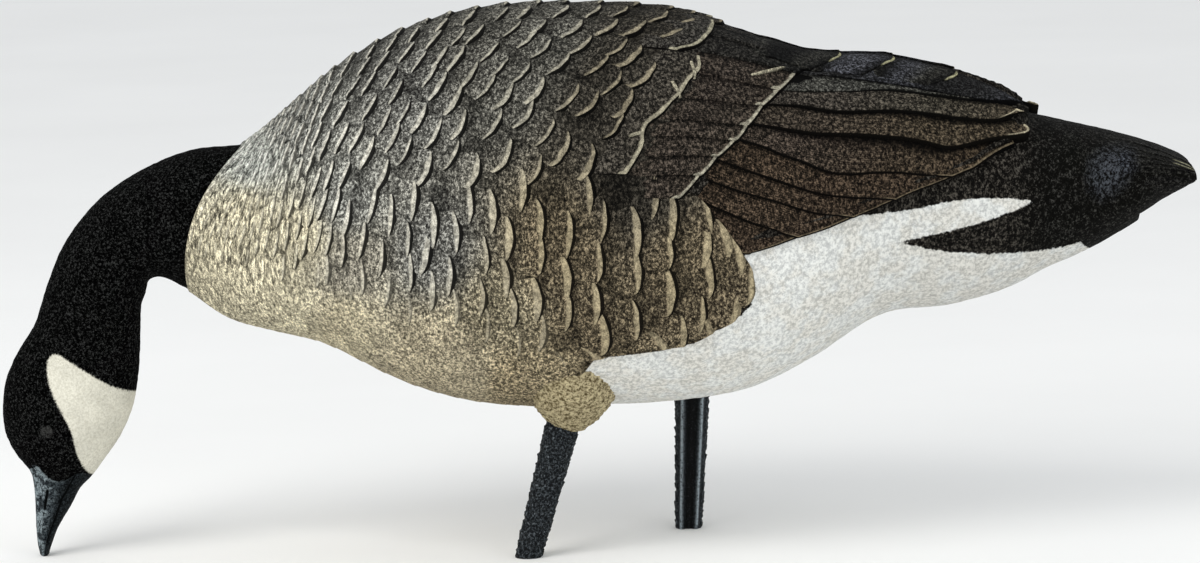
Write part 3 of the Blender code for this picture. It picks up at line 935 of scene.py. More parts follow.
# in front each stroke leans a little more than its row, a sawtooth; on the
# flank the strokes stand upright
on_side = (deg >= SEAM) * smooth((tq - 2.4) / 1.4) * (1 - smooth((deg - 120) / 12))
lean = lean + 0.12 * smooth((tq - 1.5) / 1.2) * (1 - on_side) * (deg < 120) * (tmid < 0.5)
eu, et = offset(tu, tth, (lu, shear, lt), 1.0, 0.0)
fu, ft = offset(tu, tth, (lu, shear, lt), 0.0, 1.0)
here_z = skin(tu, tth)[..., 2]
level_lean = np.arctan2(skin(eu, et)[..., 2] - here_z, np.maximum(here_z - skin(fu, ft)[..., 2], 0.2))
upright = level_lean + 0.16 * (1 - smooth((tu - 3.6) / 1.6)) + 0.12 * tj2
lean = lean + (upright - lean) * on_side
view = side_view(lifted(tu, tth, front_rise(tu, tth)))
inside = distance_inside(view, rounded(FRONT_TRACT, 3))
# a tip that falls past the tract's edge is drawn back onto it, if it is close,
# and turned square to it
close = (inside < 1.0) & (inside > -np.where(deg < SEAM, 0.40, 0.95) * row)
u0, t0 = tu[close], tth[close]
u1, t1_ = kept_inside(u0, t0, rounded(FRONT_TRACT, 3), front_rise)
m0 = tuple(x[close] for x in (lu, shear, lt))
u1, t1_ = offset(u1, t1_, m0, -0.8 * np.cos(lean[close]), -0.8 * np.sin(lean[close]))
tu[close], tth[close] = u1, np.clip(t1_, 0, math.pi - 0.01)
view = side_view(lifted(tu, tth, front_rise(tu, tth)))
inside = distance_inside(view, rounded(FRONT_TRACT, 3))
ring_line = rounded(FRONT_TRACT, 3)


def outward_lean(u, theta):
    """Direction (rad, + down) square to the tract's edge, out of it."""
    metric = frames(u, theta)
    at0 = distance_inside(side_view(lifted(u, theta, front_rise(u, theta))), ring_line)
    ux, tx = offset(u, theta, metric, 1.5, 0.0)
    uy, ty = offset(u, theta, metric, 0.0, 1.5)
    gx = distance_inside(side_view(lifted(ux, tx, front_rise(ux, tx))), ring_line) - at0
    gy = distance_inside(side_view(lifted(uy, ty, front_rise(uy, ty))), ring_line) - at0
    return np.arctan2(-gy, -gx)


edge_lean = outward_lean(tu, tth)
amount = 0.45 * smooth((4.0 - inside) / 4.0) * (np.degrees(tth) > SEAM)
amount = amount * (np.abs(edge_lean - lean) < 1.2) * (1 - 0.7 * smooth((np.degrees(tth) - 112) / 10))
lean = lean + (edge_lean - lean) * amount
keep = (inside > 0.1) & (tu > 0.04)
# of tips drawn onto nearly the same place only one stays
spot = skin(tu, tth)
for i in np.argsort(inside):
    if keep[i]:
        gap = np.linalg.norm(spot - spot[i], axis=1)
        crowd = keep & (gap < 0.42 * twide[i]) & (gap > 0) & (np.abs(inside - inside[i]) < 0.35 * row[i])
        crowd &= (inside > inside[i]) | (np.arange(len(tu)) > i)
        keep &= ~crowd
deg = np.degrees(tth)
# the long feathers at the back's rear are laid separately
keep &= ~((inside < 15) & (deg < SEAM - 2) & (tu > 5.6))
# how strong the pale edge is: full on the back and flank, less on the breast,
# nearly none on the low belly
lowness = smooth((deg - 102 - 16 * smooth((tu - 4.5) / 2.0)) / 17)
on_back = (deg < SEAM) * 1.0
band = 0.75 + 1.35 * smooth((tq - 0.8) / 2.6) + 0.25 * smooth((tq - 3.6) / 1.5) * on_back
band = (band + 1.5 * smooth((tq - 3.4) / 1.6) * (1 - on_back)) * (1 - 0.93 * lowness)
band = band * (1 + 0.40 * tj3)
high = (0.62 + 1.05 * smooth((tq - 0.4) / 2.6)) * (1 - 0.78 * lowness)
# dark: strength of the painted shade behind and below each scale's edge, less on the low belly and near the tract's
# edge on the flank
dark = np.clip(0.40 + 0.60 * smooth((tq - 0.6) / 2.0), 0, 1) * (1 - 0.80 * lowness)
dark = dark * (1 - 0.6 * smooth((6 - inside) / 4) * (deg > 88))
dash = (0.92 - 0.80 * smooth((tq - 1.9) / 1.5)) * (1 - 0.35 * lowness)
made = dict(
    u=tu, theta=tth, lean=lean, row=row, wide=twide, high=high, band=band,
    bias=0.14 * on_back, spread=(0.84 + 0.04 * smooth((tq - 3.0) / 1.5) * (1 - on_back)) * (1 + 0.14 * tj3), dark=dark, inside=inside, dash=dash,
    blunt=2.6 - 0.5 * smooth((tq - 2.2) / 1.6),
    root=np.where(inside < 2.0, 4.2, 1.9), broad=0.62 - 0.06 * (1 - smooth((tq - 1.0) / 3.0)) + 0.06 * (1 - on_back) * smooth((tq - 2.8) / 1.2),
    point=0.62 - 0.26 * (1 - smooth((tq - 2.6) / 2.4)) - 0.20 * (1 - on_back) * smooth((tq - 2.8) / 1.2), sink=1.35 + 0.3 * (1 - smooth((tq - 2.0) / 2.5)),
    skirt=(0.60 + 1.65 * smooth((tq - 0.8) / 2.8) + 0.45 * (1 - on_back) * smooth((tq - 3.2) / 1.2)) * (1 - 0.80 * lowness),
    tilt=np.where(tmid > 0.5, 0.0, 1.0), seed=rng.uniform(0, 1, len(tu)))


def picked(table, mask):
    return {k: v[mask] for k, v in table.items()}


def front_lift(u, theta):
    return front_rise(u, theta) - 0.1


fronts, backs, flanks = Tract(), Tract(), Tract()
small = keep & (tq < 2.0)
middle = keep & (tq >= 2.0) & (tq < 3.6)
large = keep & (tq >= 3.6)
tract_line = rounded(FRONT_TRACT, 3)
for side in (1, -1):
    here = np.ones(len(tu), bool) if side > 0 else (tmid < 0.5)
    scale_set(fronts, picked(made, small & here), side, 18, (0.5, 0.82, 1.0), front_lift, tract_line)
    scale_set(fronts, picked(made, middle & here), side, 24, (0.45, 0.72, 0.9, 1.0), front_lift, tract_line)
    scale_set(backs, picked(made, large & here & (deg < 74)), side, 32, (0.35, 0.6, 0.78, 0.9, 1.0), front_lift, tract_line)
    scale_set(flanks, picked(made, large & here & (deg >= 74)), side, 32, (0.35, 0.6, 0.78, 0.9, 1.0), front_lift, tract_line)


def feather_material(name="feather_paint"):
    m = Nodes(name, roughness=0.9, specular=0.06)
    edge, band, row = m.attr("edge"), m.attr("band"), m.attr("row")
    fa, fb, seed, dark, hatch = m.attr("fa"), m.attr("fb"), m.attr("seed"), m.attr("dark"), m.attr("hatch")
    along = m.stretched(1.0, 0.8, 0.75)
    lumps = m.noise(540, 4, 0.75, along)
    speck = m.noise(1150, 3, 0.7, along)
    # on the breast the speckle is drawn out upright
    tall = m.noise(520, 3, 0.7, m.stretched(1.15, 0.8, 0.30))
    lumps = m.math("ADD", lumps, m.math("MULTIPLY", m.math("SUBTRACT", tall, lumps), m.math("MINIMUM", m.attr("dash"), 1.0)))
    frayed = m.math("MULTIPLY_ADD", m.math("ADD", m.math("MULTIPLY", lumps, 0.6), m.math("MULTIPLY", speck, 0.4)), 7.5, -3.75)
    d = m.math("ADD", edge, m.math("MULTIPLY", frayed, m.line(band, 0.0, 2.0, 0.45, 1.0)))
    d = m.math("ADD", d, m.math("MULTIPLY", m.math("MULTIPLY_ADD", m.noise(190, 2, 0.5), 3.4, -1.7), m.line(band, 0.6, 3.0, 0.15, 1.0)))
    # barbs run out and back from the shaft; on the long feathers one way only
    comb = m.math("ADD", m.math("MULTIPLY", m.math("ABSOLUTE", fb), 0.75), fa)
    slant = m.math("ADD", m.math("MULTIPLY", fb, 0.9), m.math("MULTIPLY", fa, 0.55))
    wander = m.math("MULTIPLY", m.noise(240, 2, 0.5), 5.0)
    barbs = m.math("SINE", m.math("ADD", m.math("MULTIPLY", comb, 5.2), wander))
    lines = m.math("MULTIPLY", m.math("SINE", m.math("ADD", m.math("MULTIPLY", slant, 3.4), wander)), hatch)
    ground = m.attr("ground", True)
    # strongly speckled, lighter and darker by the same ratio
    grit = m.attr("grit")
    level = m.math("ADD", m.math("MULTIPLY_ADD", lumps, 18.0, -9.3), m.math("MULTIPLY_ADD", speck, 10.0, -5.2))
    level = m.math("MINIMUM", m.math("POWER", 2.0, m.math("MULTIPLY", level, grit)), m.line(grit, 0.80, 1.12, 1.80, 3.7))
    level = m.math("MULTIPLY", level, m.math("MULTIPLY_ADD", barbs, 0.12, 1.0))
    # short dark dashes along the small feathers of the breast
    dashes = m.noise(1.0, 2, 0.50, m.vector(m.math("MULTIPLY", fa, 0.62), m.math("MULTIPLY", fb, 0.15), m.math("MULTIPLY", seed, 60)))
    dashes = m.math("MULTIPLY", m.step(dashes, 0.36, 0.48, 1.0, 0.0), m.attr("dash"))
    level = m.math("MULTIPLY", level, m.math("MULTIPLY_ADD", dashes, -0.85, 1.10))
    level = m.math("MULTIPLY", level, m.math("MULTIPLY_ADD", lines, 0.30, 1.0))
    level = m.math("MULTIPLY", level, m.line(seed, 0, 1, 0.80, 1.20))
    # painted shade on the part just behind the edge of the feather before, as strong as dark
    behind = m.step(m.math("DIVIDE", fa, row), 0.50, 1.05)
    level = m.math("MULTIPLY", level, m.math("MULTIPLY_ADD", m.math("MULTIPLY", behind, dark), -0.56, 1.0))
    base = m.times(ground, level)
    # pale line inside the edge
    inner = m.step(m.math("SUBTRACT", d, band), -0.35, 0.35, 1.0, 0.0)
    gate = m.step(band, 0.15, 0.75)
    pale_amount = m.math("MULTIPLY", inner, gate)
    pale = m.times(m.attr("pale", True), m.line(m.math("ADD", speck, lumps), 0.84, 1.14, 0.50, 1.20))
    pale = m.times(pale, m.line(m.noise(300, 3, 0.65), 0.40, 0.60, 0.62, 1.20))
    colour = m.mix(pale_amount, base, pale)
    # painted shadow on the slope below the edge
    below = m.math("MULTIPLY", m.step(edge, -0.35, -0.02, 1.0, 0.0), dark)
    colour = m.mix(below, colour, m.times(ground, 0.07))
    height = m.math("ADD", m.math("MULTIPLY", lumps, 1.3), m.math("ADD", m.math("MULTIPLY", speck, 0.5), m.math("MULTIPLY", barbs, 0.06)))
    height = m.math("SUBTRACT", height, m.math("MULTIPLY", dashes, 0.70))
    return m.done(colour, m.bump(height, 0.0011, 0.85))


paint = feather_material()


# ------------------------------------------------------------------ wing blades
# A blade is a long feather between two edge lines on the surface; its lower
# edge stands proud of the blade below it.


def curve_at(points, t):
    """Points (u, theta deg) along a line of them, by share of its length."""
    p = np.array(points, float)
    q = skin(p[:, 0], np.radians(p[:, 1]))
    run = np.concatenate([[0], np.cumsum(np.linalg.norm(np.diff(q, axis=0), axis=1))])
    return hermite(p, np.interp(np.asarray(t) * run[-1], run, np.arange(len(p))))


def blade(tract, upper, lower, side, lift, bulge=0.0, tip_round=0.0, high=(-1.0, 1.0), base=-2.0, root=3.0, band_tip=0.0,
          band_low=0.0, ground=(0.03, 0.022, 0.015), pale=(0.3, 0.27, 0.2), end=None, long=40, wide=12, dark=1.0, seed=0.5,
          fall=0.0, hatch=0.0, whole_tip=False, waist=0.86, skirt=0.8, shade=0.75, rise_over=0.30, sheen=0.0,
          shade_wide=(4.5, 4.5), band_end=0.0, end_part=(-1.0, 2.0), grit=1.15):
    """bulge is how far, in mm, the middle of the end reaches past its corners,
    tip_round how much the end's width closes in from waist on, end a line of
    (u, theta deg) that the end follows from the upper to the lower edge."""
    p = np.concatenate([np.linspace(0, 0.80, long - 12, endpoint=False), 0.8 + 0.2 * np.sin(np.linspace(0, 0.5 * math.pi, 12))])
    w = np.concatenate([[0.0], np.linspace(0.06, 0.94, wide - 4), [0.965, 0.985, 1.0]])
    a = curve_at(upper, p)[:, None, :]
    b = curve_at(lower, p)[:, None, :]
    closing = np.sqrt(1 - (tip_round * np.clip((p - waist) / (1 - waist), 0, 1)) ** 2)[:, None]
    ww = 0.5 + (w[None] - 0.5) * closing
    at = a + (b - a) * ww[..., None]
    if end is not None:
        e = curve_at(end, w)[None]
        straight = a[-1:] + (b[-1:] - a[-1:]) * w[None, :, None]
        at = at + (e - straight) * smooth((p - 0.55) / 0.45)[:, None, None]
    u, th = at[..., 0], np.radians(at[..., 1])
    lu, shear, lt = frames(u, th)
    push = bulge * smooth((p - 0.7) / 0.3)[:, None] * (1 - (2 * w[None] - 1) ** 2) ** 0.75
    u = u + push / lu
    # lengths in mm
    q = skin(u, th)
    along = np.concatenate([np.zeros((1, q.shape[1])), np.cumsum(np.linalg.norm(np.diff(q, axis=0), axis=2), axis=0)])
    from_tip = along[-1:] - along
    wid = np.concatenate([np.zeros((q.shape[0], 1)), np.cumsum(np.linalg.norm(np.diff(q, axis=1), axis=2), axis=1)], 1)
    from_low = wid[:, -1:] - wid
    mid = 0.5 * wid[:, -1:]
    hw = high[0] + (high[1] - high[0]) * w[None] ** 1.3
    h = base + (hw - base) * smooth(p / rise_over)[:, None]
    h = h + 0.25 * np.exp(-((wid - 0.45 * wid[:, -1:]) / 1.2) ** 2)
    h = h - 0.15 * (from_low < 0.3) - fall * smooth((p - 0.75) / 0.25)[:, None]
    h = h + noise(q, 2.6, 31) * 0.14 + noise(q, 6.0, 32) * 0.24
    top = lifted(u, th, lift(u, th) + h)
    # the edge's walls: the loop round the blade, first a slope, then straight
    # down into the body
    nu, nw = u.shape
    loop = ([(i, 0) for i in range(nu)] + [(nu - 1, j) for j in range(1, nw)]
            + [(i, nw - 1) for i in range(nu - 2, -1, -1)] + [(0, j) for j in range(nw - 2, 0, -1)])
    li = np.array([x[0] for x in loop])
    lj = np.array([x[1] for x in loop])
    edge_pt = top[li, lj]
    surf_n = lifted(u, th, lift(u, th) + h + 1.0)[li, lj] - edge_pt
    # outward directions that stay well behaved at a tip that closes in
    tangent = np.roll(edge_pt, -1, 0) - np.roll(edge_pt, 1, 0)
    outward = np.cross(surf_n, tangent)
    outward /= np.maximum(np.linalg.norm(outward, axis=1, keepdims=True), 1e-9)
    middle_line = top[:, nw // 2][np.clip(li - 3, 0, nu - 1)]
    if ((edge_pt - middle_line) * outward).sum() < 0:
        outward = -outward
    h_loop = h[li, lj]
    slope = edge_pt + outward * skirt - surf_n * (np.maximum(h_loop, 0) * 0.9 + 0.35)[:, None]
    wall = edge_pt + outward * (skirt + 0.15) - surf_n * (root + h_loop)[:, None]
    n_top = nu * nw
    n_loop = len(loop)
    hub = wall.mean(0)
    points = np.concatenate([top.reshape(-1, 3), slope, wall, [hub]])
    g = np.arange(n_top).reshape(nu, nw)
    quads = np.stack([g[:-1, :-1], g[1:, :-1], g[1:, 1:], g[:-1, 1:]], -1).reshape(-1, 4)
    e0 = g[li, lj]
    e1 = np.roll(e0, -1)
    s0 = n_top + np.arange(n_loop)
    s1 = np.roll(s0, -1)
    w0, w1 = s0 + n_loop, s1 + n_loop
    walls = np.concatenate([np.stack([e0, s0, s1, e1], -1), np.stack([s0, w0, w1, s1], -1)])
    tris = np.stack([w0, np.full(n_loop, n_top + 2 * n_loop), w1], -1)
    if whole_tip:
        edge = np.minimum(from_tip, from_low + 1.0)
        band = band_tip * smooth((6 - from_tip) / 2) * (1 + 0.35 * noise(q, 4.0, 33))
    elif tip_round:
        near_tip = smooth((p - 0.80) / 0.10)[:, None]
        edge = np.minimum(np.minimum(from_low, from_tip), wid + (1 - near_tip) * 9)
        band = band_tip * smooth((w[None] - 0.25) / 0.25) * smooth((17 - from_tip) / 8)
        band = np.maximum(band, band_low * smooth((p - 0.6) / 0.2)[:, None] * (w[None] > 0.5))
    else:
        edge = np.minimum(from_low, from_tip)
        band = band_low * smooth((p - 0.15) / 0.2)[:, None] * (from_low < 5) * np.ones_like(from_tip)
        part = smooth((w[None] - end_part[0]) / 0.15) * smooth((end_part[1] - w[None]) / 0.15)
        band = np.maximum(band, band_end * part * smooth((14 - from_tip) / 8))
    ground = np.asarray(ground, float)
    if ground.ndim == 1:
        g_top = np.broadcast_to(ground, (nu, nw, 3))
    else:  # colours from base to tip
        f = np.linspace(0, 1, len(ground))
        g_top = np.stack([np.interp(p, f, ground[:, c]) for c in range(3)], -1)[:, None, :] * np.ones((1, nw, 1))
    # the part beside the feather above lies in its shade
    over = (shade_wide[0] + (shade_wide[1] - shade_wide[0]) * smooth(p))[:, None]
    g_top = g_top * (1 - shade + shade * smooth((wid - 0.25 * over) / (0.75 * over)))[..., None]
    # painted sheen: inside the tail's sheen patch the ground turns blue-grey
    if sheen:
        painted_sheen_share = smooth((painted_sheen_at(side_view(top)) + 7) / 15)[..., None] * sheen
        g_top = g_top * (1 - painted_sheen_share) + np.array([0.023, 0.026, 0.031]) * painted_sheen_share
    rest = 2 * n_loop + 1
    twice = lambda x: np.concatenate([x.ravel(), x[li, lj], x[li, lj], [0.0]])
    floats = {
        "edge": np.concatenate([edge.ravel(), np.full(n_loop, -skirt), np.full(n_loop, -skirt - 0.4), [-3.0]]),
        "band": twice(band), "fa": twice(from_tip * 0.0), "fb": twice(wid - mid),
        "row": np.full(n_top + rest, 14.0), "seed": np.full(n_top + rest, seed),
        "dark": np.full(n_top + rest, dark), "hatch": np.full(n_top + rest, hatch), "grit": np.full(n_top + rest, grit),
        "dash": np.zeros(n_top + rest),
    }
    floats["fa"][:n_top] = np.minimum(from_tip, 6.0).ravel()
    colours = {
        "ground": np.concatenate([g_top.reshape(-1, 3), g_top[li, lj], g_top[li, lj], g_top[:1, 0]]),
        "pale": np.broadcast_to(np.asarray(pale, float), (n_top + rest, 3)),
    }
    # uv: the top as a rectangle, its walls round it, the underside small
    pu = np.linspace(0.06, 0.94, nu)
    pw = np.linspace(0.06, 0.94, nw)
    top_uv = np.stack(np.meshgrid(pu, pw, indexing="ij"), -1).reshape(-1, 2)
    away = np.sign(top_uv[e0] - 0.5) * np.isclose(np.abs(top_uv[e0] - 0.5), 0.44)
    uv_s, uv_w = top_uv[e0] + away * 0.035, top_uv[e0] + away * 0.055
    turned = lambda x: np.roll(x, -1, 0)
    wall_uv = np.concatenate([np.stack([top_uv[e0], uv_s, turned(uv_s), turned(top_uv[e0])], 1),
                              np.stack([uv_s, uv_w, turned(uv_w), turned(uv_s)], 1)])
    ang = np.arange(n_loop + 1) / n_loop * 2 * math.pi
    disc = np.stack([np.cos(ang), np.sin(ang)], -1) * 0.002 + 0.0025
    tri_uv = np.stack([disc[:-1], np.full((n_loop, 2), 0.0025), disc[1:]], 1)
    q_uv = np.concatenate([top_uv[quads], wall_uv])
    quads = np.concatenate([quads, walls])
    if side < 0:
        points = points * np.array([1, -1, 1])
        quads, q_uv = quads[:, ::-1], q_uv[:, ::-1]
        tris, tri_uv = tris[:, ::-1], tri_uv[:, ::-1]
    tract.add(points[None], tris, quads, floats, colours, tri_uv.reshape(-1, 2), q_uv.reshape(-1, 2))


# edges between the long feathers, (rib, degrees round), from the top down
TOP_LINE = ((8.4, 4), (9.0, 3), (10.0, 5), (11.0, 9), (11.6, 15), (12.0, 21))
EDGE_1 = ((8.2, 26), (8.70, 26), (9.22, 26.5), (9.76, 30), (10.0, 31.5), (10.38, 32), (10.73, 32.5), (11.24, 31.5), (11.65, 29), (11.95, 25.5))
EDGE_1_LOW = ((8.1, 41), (8.44, 39), (8.68, 38), (9.09, 36.5), (9.73, 36), (10.20, 35), (10.55, 34.5), (10.95, 33.5))
EDGE_2 = ((7.8, 50), (8.21, 47), (8.50, 45.5), (8.84, 44.5), (9.22, 46), (9.59, 47), (9.98, 47), (10.34, 46.3), (10.65, 46), (10.91, 46), (11.28, 45), (11.6, 43), (11.95, 38))
EDGE_3 = ((7.5, 54), (8.00, 55), (8.45, 55.5), (8.95, 56), (9.21, 56.5), (9.58, 58), (9.98, 60), (10.29, 60.7), (10.51, 61.5), (10.78, 63), (10.98, 62), (11.28, 58.5), (11.50, 55.5), (11.85, 52), (12.12, 49.5))
EDGE_4 = ((7.3, 58), (7.86, 61), (8.20, 63), (8.44, 65), (8.81, 67.3), (9.19, 72), (9.6, 75), (10.3, 77), (10.9, 78))
EDGE_5 = ((7.2, 65), (7.70, 69), (8.09, 72), (8.58, 75.5), (9.18, 81), (9.76, 87), (10.1, 90))
EDGE_6 = ((7.1, 71), (7.53, 75), (7.93, 78), (8.3, 80.5), (8.72, 84), (9.34, 90), (9.5, 91.8))
EDGE_7 = ((7.0, 77), (7.40, 81), (7.71, 84), (8.11, 88), (8.58, 91.5), (8.7, 92.5))
EDGE_LOW = ((6.9, 86), (7.3, 91), (7.9, 94.5), (8.0, 94.5))


def along_low(u0, u1, n=7, over=0.5):
    """The wing's lower boundary between two ribs."""
    return [(u, float(between(WING_LOW, u)) + over) for u in np.linspace(u0, u1, n)]


BROWN = ((0.024, 0.017, 0.011), (0.034, 0.024, 0.016), (0.030, 0.0215, 0.0145))
CREAM = (0.52, 0.46, 0.32)
TAN_EDGE = (0.17, 0.135, 0.085)
wings = Tract()
for side in (1, -1):
    common = dict(side=side, lift=wing_rise, hatch=1.0)
    quill = dict(root=6.0, skirt=1.2, shade=0.85, shade_wide=(5.0, 6.5), pale=TAN_EDGE, band_end=0.7)
    blade(wings, EDGE_7[:-1] + (along_low(8.7, 8.7, 1)[0],), EDGE_LOW, end=along_low(8.7, 8.0), high=(-1.2, 0.6),
          ground=BROWN, seed=0.3, **{**quill, "root": 4.5}, **common)
    blade(wings, EDGE_6[:-1] + (along_low(9.5, 9.5, 1)[0],), EDGE_7, end=along_low(9.5, 8.7), high=(-0.9, 0.9),
          ground=BROWN, seed=0.7, **quill, **common)
    blade(wings, EDGE_5[:-1] + (along_low(10.1, 10.1, 1)[0],), EDGE_6, end=along_low(10.1, 9.5), high=(-0.9, 1.0),
          ground=BROWN, seed=0.45, **quill, **common)
    blade(wings, EDGE_4[:-1] + (along_low(10.9, 10.9, 1)[0],), EDGE_5, end=along_low(10.9, 10.1), high=(-0.9, 1.1),
          ground=BROWN, seed=0.6, **quill, **common)
    blade(wings, EDGE_3[:-1] + (along_low(11.95, 11.95, 1)[0],), EDGE_4, end=along_low(11.95, 10.9), high=(-1.2, 1.2),
          ground=((0.030, 0.024, 0.018), (0.034, 0.026, 0.020), (0.033, 0.025, 0.017), (0.038, 0.028, 0.018)), root=6.0, seed=0.5, fall=1.0,
          shade=0.95, shade_wide=(5.0, 25.0), pale=TAN_EDGE, band_end=0.9, skirt=1.2, **common)
    common["hatch"] = 0.5
    blade(wings, EDGE_2, EDGE_3, end=((11.97, 38.5), (12.12, 40.5), (12.22, 43.5), (12.22, 46.5), (12.13, 49.5)), high=(-1.0, 2.6),
          ground=((0.028, 0.023, 0.017), (0.034, 0.027, 0.020), (0.037, 0.029, 0.019), (0.042, 0.033, 0.022)), shade=0.9, shade_wide=(3.5, 6.0),
          root=7.0, band_end=1.7, end_part=(0.32, 2.0), pale=CREAM, seed=0.55, long=60, wide=16, skirt=1.2, **common)
    # the right wing's second feather ends a little farther back
    longer = 0.42 if side > 0 else 0.0
    up = EDGE_1[:-1] + ((11.95 + longer, 25),)
    low = EDGE_2[:-1] + ((11.95 + longer, 38 - 6 * longer),)
    blade(wings, up, low, bulge=6.0, tip_round=0.97, waist=0.88, high=(-0.8, 2.4),
          ground=((0.030, 0.026, 0.021), (0.036, 0.031, 0.025), (0.036, 0.032, 0.024), (0.042, 0.034, 0.023)), shade=0.85,
          root=7.0, band_tip=1.6, pale=CREAM, seed=0.5, long=60, wide=16, **common)
    blade(wings, EDGE_1[:8], EDGE_1_LOW, high=(0.5, 2.0), ground=((0.036, 0.035, 0.030), (0.044, 0.044, 0.038), (0.040, 0.039, 0.033)),
          root=2.5, seed=0.5, long=44, wide=10, bulge=2.0, skirt=0.7, **common)
    # its near-black stops are painted shadow under the tips of the short feathers on top
    blade(wings, TOP_LINE, EDGE_1, bulge=4.0, tip_round=0.8, high=(-0.4, 1.6), ground=((0.018, 0.018, 0.017), (0.014, 0.014, 0.014), (0.010, 0.010, 0.010), (0.030, 0.031, 0.035), (0.006, 0.006, 0.006), (0.012, 0.012, 0.012), (0.026, 0.027, 0.031)),
          root=9.0, band_tip=0.0, pale=CREAM, seed=0.5, long=50, wide=14, **common)
    # three shorter ones on top of the back: thin yellow edge at the tip, painted shadow where the tip of the one before
    # lies over it, then blue-grey
    for tip_u, start_u, hi, sd, stops in (
            (10.95, 9.3, 1.2, 0.5, ("d", "d", "d", "k", "b", "d", "k")),
            (10.08, 8.5, 1.9, 0.6, ("d", "d", "d", "k", "b", "b", "k")),
            (9.36, 7.7, 2.6, 0.5, ("k", "k", "d", "k", "k", "d", "k"))):
        # k: painted shadow, d: dark ground, b: blue-grey
        tone = {"k": (0.0035, 0.0035, 0.0033), "d": (0.021, 0.0205, 0.0175), "b": (0.034, 0.035, 0.040)}
        ends = [(u, float(np.interp(u, [x[0] for x in TOP_LINE], [x[1] for x in TOP_LINE])) - 0.5) for u in np.linspace(start_u, tip_u, 6)]
        lows = [(u, float(np.interp(u, [x[0] for x in EDGE_1], [x[1] for x in EDGE_1])) - 2.5) for u in np.linspace(start_u, tip_u - 0.42, 6)]
        t_top, t_low = ends[-1][1], lows[-1][1]
        tip = ((tip_u, t_top), (tip_u + 0.03, t_top + 0.25 * (t_low - t_top)), (tip_u - 0.10, t_top + 0.55 * (t_low - t_top)), (tip_u - 0.42, t_low))
        blade(wings, ends, lows, end=tip, high=(hi, hi + 0.2), ground=[tone[k] for k in stops],
              root=2.0, band_end=1.25, end_part=(0.02, 0.62), pale=(0.42, 0.40, 0.24), seed=sd, long=40, wide=14, skirt=0.5, rise_over=0.5, **common)

# wing coverts between the mantle and the long feathers
COVERTS = (((7.15, 9), (8.95, 10)), ((7.15, 18), (8.88, 18)), ((7.05, 30), (8.72, 27)), ((6.95, 39.5), (8.45, 39)),
           ((6.85, 50), (8.20, 47.3)), ((6.6, 57), (7.98, 55.5)), ((6.50, 62), (7.82, 61)), ((6.42, 68), (7.58, 66.5)), ((6.38, 73), (7.36, 72.5)), ((6.5, 79), (7.09, 79)))


def barb(tract, path, side, lift, wide=1.4, high=2.0, pale=(0.30, 0.275, 0.20), seed=0.5):
    """A short pale raised stroke along a path of (rib, degrees round)."""
    p = np.array(path, float)
    lu, shear, lt = frames(p[:, 0], np.radians(p[:, 1]))
    d = np.gradient(p, axis=0)
    dx, dy = d[:, 0] * lu + np.radians(d[:, 1]) * shear, np.radians(d[:, 1]) * lt
    n = np.hypot(dx, dy)
    nx, ny = -dy / n * wide / 2, dx / n * wide / 2
    rows = []
    for sign in (1, -1):
        u, t = offset(p[:, 0], np.radians(p[:, 1]), (lu, shear, lt), sign * nx, sign * ny)
        rows.append([(float(a), math.degrees(float(b))) for a, b in zip(u, t)])
    upper, lower = sorted(rows, key=lambda r: (r[0][1] + r[-1][1], r[0][0]))
    blade(tract, upper, lower, side=side, lift=lift, high=(high, high + 0.1), base=0.2, root=1.5, bulge=1.0, tip_round=0.9, waist=0.7,
          ground=pale, seed=seed, long=20, wide=8, skirt=0.6, shade=0.0, rise_over=0.3, grit=0.45)


for side in (1, -1):
    for i in range(len(COVERTS) - 1, 0, -1):
        (a0, a1), (b0, b1) = COVERTS[i - 1], COVERTS[i]
        top_line = [(a0[0] + (a1[0] - a0[0]) * f, a0[1] + (a1[1] - a0[1]) * f) for f in np.linspace(0, 1, 5)]
        low_line = [(b0[0] + (b1[0] - b0[0]) * f, b0[1] + 0.8 + (b1[1] - b0[1]) * f) for f in np.linspace(0, 1, 5)]
        plain = i < 3
        tone = ((0.016, 0.015, 0.013),) * 2 + ((0.010, 0.010, 0.009),) if plain else ((0.022, 0.018, 0.0135), (0.030, 0.024, 0.019), (0.031, 0.025, 0.019))
        blade(wings, top_line, low_line, side=side, lift=wing_rise, high=(1.0, 2.7), base=-1.2, root=1.6, rise_over=0.6,
              band_tip=0.0 if plain else 2.0, whole_tip=True, ground=tone, pale=(0.37, 0.345, 0.265), shade=0.90, shade_wide=(6.5, 8.0),
              seed=0.35 + 0.05 * i, long=32, wide=12, bulge=0.8, dark=1.0, skirt=1.5, hatch=0.3)
    barb(wings, ((7.93, 37.3), (8.10, 35.6), (8.33, 31.5), (8.50, 28)), side, wing_rise, 1.5, 3.0)

